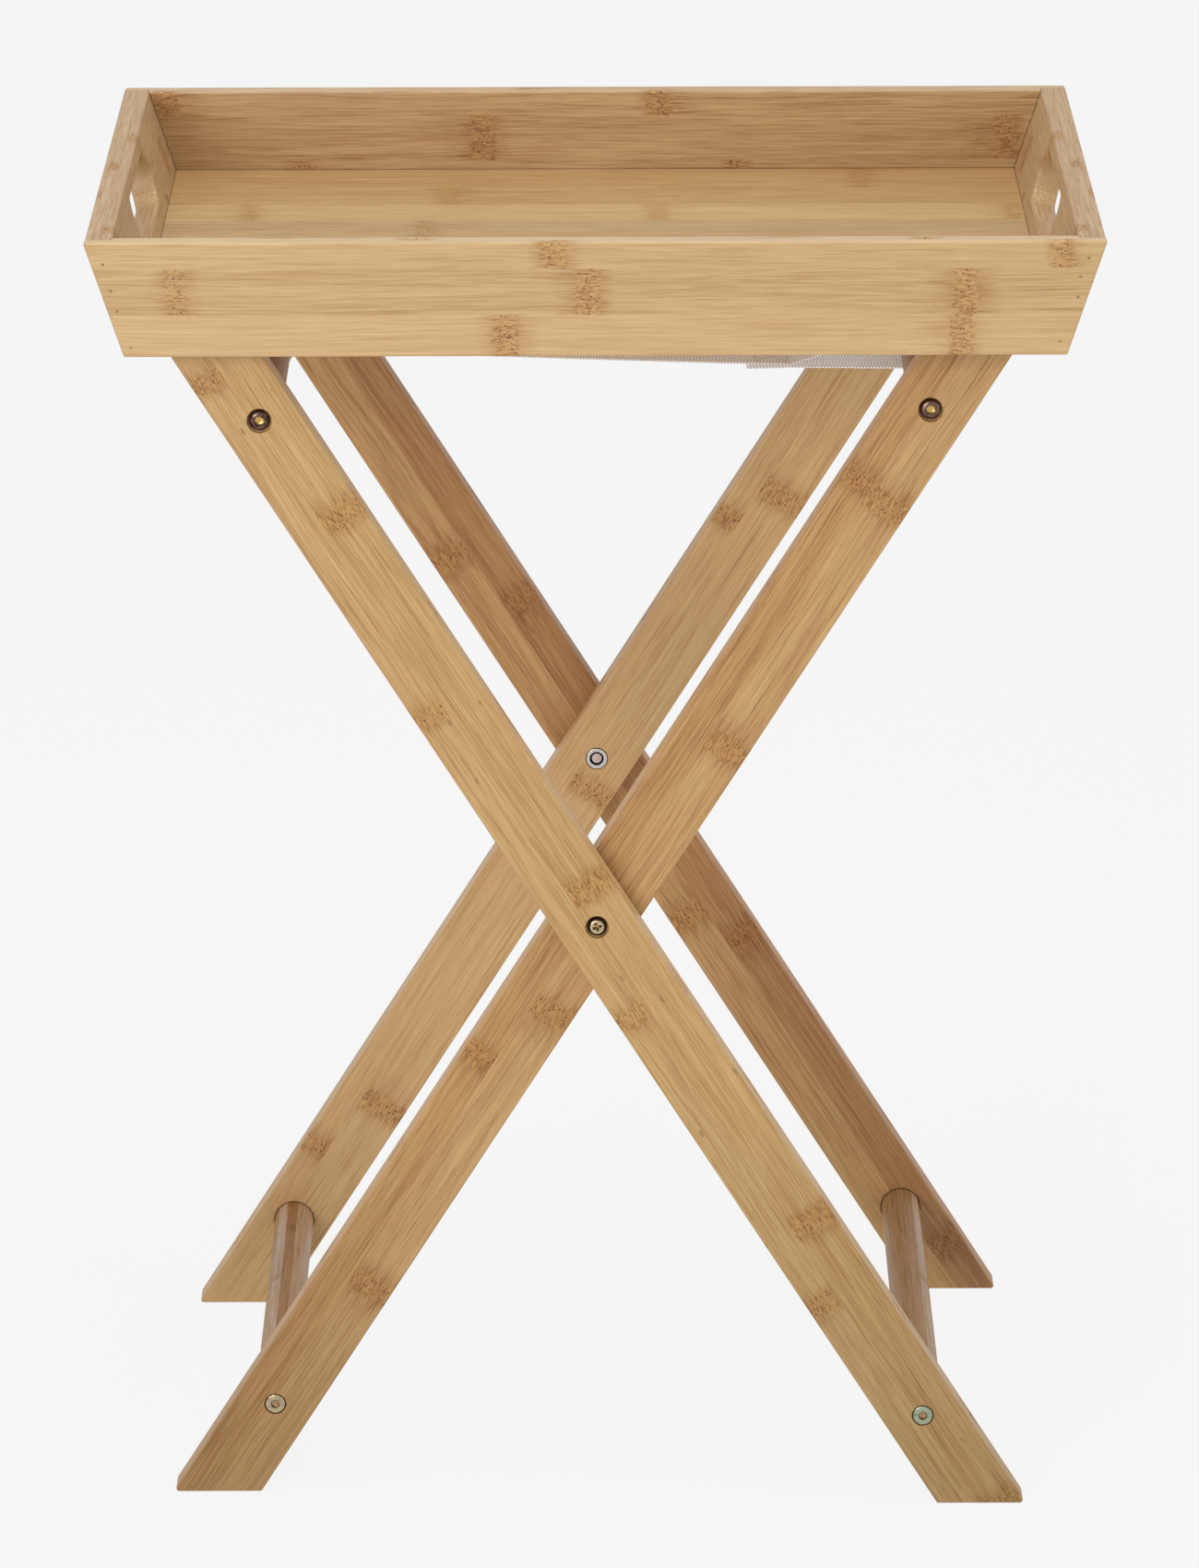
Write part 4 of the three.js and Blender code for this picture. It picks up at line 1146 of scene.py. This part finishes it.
def webbing():
    bm = bmesh.new()
    n = len(line)
    # across: rounded selvedges, then the ribbed field
    ys = [-15.0, -14.85, -14.4, -13.6] + [-12.6 + i * 25.2 / 14 for i in range(15)] + [13.6, 14.4, 14.85, 15.0]
    half = STRAP_T / 2
    grid_top, grid_bot = [], []
    ss = 0.0
    for i in range(n):
        t = (line[min(n - 1, i + 1)] - line[max(0, i - 1)]).normalized()
        nrm = Vector((-t.y, t.x))
        if i:
            ss += (line[i] - line[i - 1]).length
        top, bot = [], []
        end = min(ss, STRAP_LEN - ss)
        for y in ys:
            e = 15.0 - abs(y)
            prof = math.sqrt(max(0.0, 1 - (1 - min(1.0, e / 0.9)) ** 2))
            slant = 0.55 * abs(((y / 7.5) % 2) - 1)
            rib = 0.5 + 0.5 * math.cos(2 * pi * (ss / PITCH + slant))
            amp = 0.30 * min(1.0, e / 1.6)
            h_ = (half - 0.30 + amp * rib) * prof + 0.02
            yy = y
            if end < 3.0:  # rounded corners at the cut ends
                yy = y * (1 - 0.10 * (1 - end / 3.0) ** 2)
                h_ *= 0.65 + 0.35 * end / 3.0
            # selvedge picks
            if e < 0.3:
                yy = y + (0.12 if y > 0 else -0.12) * rib
            p = line[i]
            top.append(bm.verts.new((p.x + nrm.x * h_, yy, p.y + nrm.y * h_)))
            bot.append(bm.verts.new((p.x - nrm.x * h_, yy, p.y - nrm.y * h_)))
        grid_top.append(top)
        grid_bot.append(bot)
    m = len(ys)
    for i in range(n - 1):
        for j in range(m - 1):
            bm.faces.new((grid_top[i][j], grid_top[i + 1][j], grid_top[i + 1][j + 1], grid_top[i][j + 1]))
            bm.faces.new((grid_bot[i][j], grid_bot[i][j + 1], grid_bot[i + 1][j + 1], grid_bot[i + 1][j]))
        for j in (0, m - 1):
            bm.faces.new((grid_top[i][j], grid_bot[i][j], grid_bot[i + 1][j], grid_top[i + 1][j]))
    for i in (0, n - 1):
        for j in range(m - 1):
            bm.faces.new((grid_top[i][j], grid_top[i][j + 1], grid_bot[i][j + 1], grid_bot[i][j]))
    o = finish_mesh(bm, "strap_webbing_cloth")
    # place along and across the webbing, for the weave
    me = o.data
    for f in me.polygons:
        f.use_smooth = True
    at = me.attributes.new("weave", "FLOAT_VECTOR", "POINT")
    flat = []
    for i in range(n):
        for j, y in enumerate(ys):
            for side_ in (1.0, -1.0):
                flat += [i * STRAP_LEN / (n - 1), y, side_]
    at.data.foreach_set("vector", flat)
    return o


def webbing_material():
    k = Mat("white_webbing")
    g = k.attr("weave").outputs["Vector"]
    s_, y, side_ = k.sep(g)
    # herringbone: the twill changes direction every 7.5 mm
    zig = k.math("PINGPONG", y, 7.5)
    ph = k.math("ADD", k.math("DIVIDE", s_, PITCH), k.math("MULTIPLY", zig, 0.55 / 7.5))
    rib = k.math("PINGPONG", ph, 0.5)
    groove = k.remap(rib, 0.24, 0.42)
    yarn = k.noise(k.vec("MULTIPLY", g, (2.6, 3.4, 1.0)), detail=3.0, rough=0.65)
    fuzz = k.noise(k.vec("MULTIPLY", g, (9.0, 9.0, 2.0)), detail=2.0, rough=0.6)
    soil = k.noise(k.vec("MULTIPLY", g, (0.03, 0.09, 1.0)), detail=2.0)
    # painted shade: the grooves between the ribs are coloured grey-brown
    colour = k.mix(groove, lin(243, 240, 236), lin(158, 146, 137))
    colour = k.mix(k.remap(yarn, 0.40, 0.68, 0.0, 0.35), colour, lin(205, 196, 188))
    colour = k.mix(k.remap(soil, 0.5, 0.8, 0.0, 0.25), colour, lin(214, 204, 190))
    cross = k.math("PINGPONG", k.math("DIVIDE", y, 0.9), 0.5)
    height = k.math("MULTIPLY_ADD", cross, 0.6, k.math("MULTIPLY", yarn, 0.5))
    height = k.math("MULTIPLY_ADD", fuzz, 0.3, height)
    rough = k.remap(yarn, 0.3, 0.7, 0.78, 0.95)
    k.bsdf.inputs["Subsurface Radius"].default_value = (1.0, 1.0, 1.0)
    k.bsdf.inputs["Subsurface Scale"].default_value = 0.003
    # painted light: a faint emission makes the webbing glow, lifting it out of the shade under the tray
    k.bsdf.inputs["Emission Color"].default_value = (0.95, 0.92, 0.89, 1)
    k.bsdf.inputs["Emission Strength"].default_value = 0.14
    return k.set(color=colour, rough=rough, normal=k.bump(height, 0.5, 0.00018), sheen=0.35, sheen_rough=0.5, specular=0.3,
                 subsurface=0.8)


M_web = webbing_material()
strap = webbing()


def stitches():
    """Box stitches of thick white thread through both sewn overlaps."""
    k = Mat("white_thread")
    pos = k.new("ShaderNodeTexCoord").outputs["Object"]
    ply_ = k.noise(k.vec("MULTIPLY", pos, (3000, 900, 3000)), detail=2.0)
    k.set(color=k.mix(ply_, lin(206, 199, 190), lin(244, 241, 236)), rough=k.remap(ply_, 0.3, 0.7, 0.55, 0.8),
          normal=k.bump(ply_, 0.4, 0.0001), sheen=0.3, sheen_rough=0.4)
    bm = bmesh.new()

    def thread(a, b, nrm):
        """A half-sunk lens of thread from a to b, standing along nrm."""
        a, b, nrm = Vector(a), Vector(b), Vector(nrm)
        d = b - a
        across = d.cross(nrm).normalized()
        rings = []
        segs = 6
        for i in range(segs + 1):
            t = i / segs
            lift = 0.34 * math.sin(pi * t)
            rr = 0.13 + 0.17 * math.sin(pi * t)
            c = a + d * t + nrm * (lift - 0.15)
            ring = []
            for q in range(8):
                w_ = 2 * pi * q / 8
                ring.append(bm.verts.new(c + across * (rr * math.cos(w_)) + nrm * (rr * math.sin(w_))))
            rings.append(ring)
        for r0, r1 in zip(rings, rings[1:]):
            for q in range(8):
                bm.faces.new((r0[q], r0[(q + 1) % 8], r1[(q + 1) % 8], r1[q]))
        bm.faces.new(rings[0])
        bm.faces.new(list(reversed(rings[-1])))

    def row(x0, x1, y0, y1, zf, nz, step=2.6, gap=0.5):
        n = max(1, int(math.hypot(x1 - x0, y1 - y0) / step))
        for i in range(n):
            t0, t1 = i / n, (i + 1) / n - gap / step / n
            xa, xb = x0 + (x1 - x0) * t0, x0 + (x1 - x0) * t1
            ya, yb = y0 + (y1 - y0) * t0, y0 + (y1 - y0) * t1
            thread((xa, ya, zf(xa)), (xb, yb, zf(xb)), (0, 0, nz))

    def top_r(x):
        return run_z(x) + 0.55

    def bot_r(x):
        return 589.35 + (x - 81) * (590.0 - 589.35) / 24 - 0.62

    def top_l(x):
        return run_z(x) + 1.45 + 0.56

    def bot_l(x):
        return run_z(x) - 0.62
    for x0, x1, tf, bf in ((85.5, 102.5, top_r, bot_r), (SEW_L + 3.0, SEW_L + 20.0, top_l, bot_l)):
        for zf, nz in ((tf, 1), (bf, -1)):
            row(x0, x1, -12.2, -12.2, zf, nz)
            row(x0, x1, 12.2, 12.2, zf, nz)
            row(x0, x0, -12.2, 12.2, zf, nz)
            row(x1, x1, -12.2, 12.2, zf, nz)
            row(x0, x1, -12.2, 12.2, zf, nz)
            row(x0, x1, 12.2, -12.2, zf, nz)
    o = finish_mesh(bm, "strap_stitching")
    for f in o.data.polygons:
        f.use_smooth = True
    return o, k.m


strap.data.materials.append(M_web)
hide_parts("strap_webbing")
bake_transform(strap)
sewn, M_thread = stitches()
sewn.data.materials.append(M_thread)
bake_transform(sewn)


# ---------------------------------------------------------------- camera
cam_data = bpy.data.cameras.new("camera")
cam = bpy.data.objects.new("camera", cam_data)
scene.collection.objects.link(cam)
cam_data.sensor_width = 36.0
cam_data.lens = 8847.0 / 1700.0 * 36.0
yaw, pitch, roll = math.radians(0.014), math.radians(16.656), math.radians(-0.147)
fwd = Vector((math.sin(yaw) * math.cos(pitch), math.cos(yaw) * math.cos(pitch), -math.sin(pitch)))
right = Vector((math.cos(yaw), -math.sin(yaw), 0))
up = right.cross(fwd)
r2 = right * math.cos(roll) + up * math.sin(roll)
u2 = up * math.cos(roll) - right * math.sin(roll)
rot = Matrix((r2, u2, -fwd)).transposed()
cam.matrix_world = Matrix.Translation((0.00045, -4.2755, 1.6314)) @ rot.to_4x4()
cam_data.clip_start, cam_data.clip_end = 0.1, 60
scene.camera = cam


# ---------------------------------------------------------------- studio
def area(name, loc, target, size, power, colour=(1, 1, 1), size_y=None):
    ld = bpy.data.lights.new(name, "AREA")
    ld.shape = "RECTANGLE"
    ld.size = size
    ld.size_y = size_y or size
    ld.energy = power
    ld.color = colour
    lo_ = bpy.data.objects.new(name, ld)
    scene.collection.objects.link(lo_)
    lo_.location = loc
    lo_.rotation_mode = "QUATERNION"
    lo_.rotation_quaternion = (Vector(target) - Vector(loc)).to_track_quat("-Z", "Y")
    return lo_


area("key", (-1.25, -2.6, 1.25), (0, 0, 0.5), 1.2, 35)
area("top", (-0.2, -0.4, 2.6), (0, 0, 0.5), 1.6, 18)
area("side", (2.6, -1.0, 1.3), (0, 0, 0.4), 1.4, 16)

world = bpy.data.worlds.new("studio")
scene.world = world
world.use_nodes = True
wt = world.node_tree
wt.nodes.clear()
w_out = wt.nodes.new("ShaderNodeOutputWorld")
w_bg = wt.nodes.new("ShaderNodeBackground")
w_bg.inputs[0].default_value = (0.905, 0.905, 0.91, 1)
w_bg.inputs[1].default_value = 0.58
w_see = wt.nodes.new("ShaderNodeBackground")
w_see.inputs[0].default_value = (*lin(246, 246, 246), 1)
w_mix = wt.nodes.new("ShaderNodeMixShader")
w_lp = wt.nodes.new("ShaderNodeLightPath")
wt.links.new(w_lp.outputs["Is Camera Ray"], w_mix.inputs[0])
wt.links.new(w_bg.outputs[0], w_mix.inputs[1])
wt.links.new(w_see.outputs[0], w_mix.inputs[2])
wt.links.new(w_mix.outputs[0], w_out.inputs[0])

bm = bmesh.new()
bmesh.ops.create_grid(bm, x_segments=1, y_segments=1, size=40000)
floor = finish_mesh(bm, "studio_floor")
floor.location.z = -0.0004
fm = bpy.data.materials.new("studio_floor")
fm.use_nodes = True
ft = fm.node_tree
ft.nodes.clear()
f_out = ft.nodes.new("ShaderNodeOutputMaterial")
f_add = ft.nodes.new("ShaderNodeAddShader")
f_em = ft.nodes.new("ShaderNodeEmission")
f_em.inputs[0].default_value = (*lin(246, 246, 246), 1)
f_dif = ft.nodes.new("ShaderNodeBsdfDiffuse")
f_dif.inputs[0].default_value = (0.06, 0.06, 0.06, 1)
f_lp = ft.nodes.new("ShaderNodeLightPath")
f_str = ft.nodes.new("ShaderNodeMapRange")
ft.links.new(f_lp.outputs["Is Camera Ray"], f_str.inputs[0])
f_str.inputs[3].default_value = 0.70
f_str.inputs[4].default_value = 0.95
ft.links.new(f_str.outputs[0], f_em.inputs[1])
ft.links.new(f_em.outputs[0], f_add.inputs[0])
ft.links.new(f_dif.outputs[0], f_add.inputs[1])
ft.links.new(f_add.outputs[0], f_out.inputs[0])
floor.data.materials.append(fm)
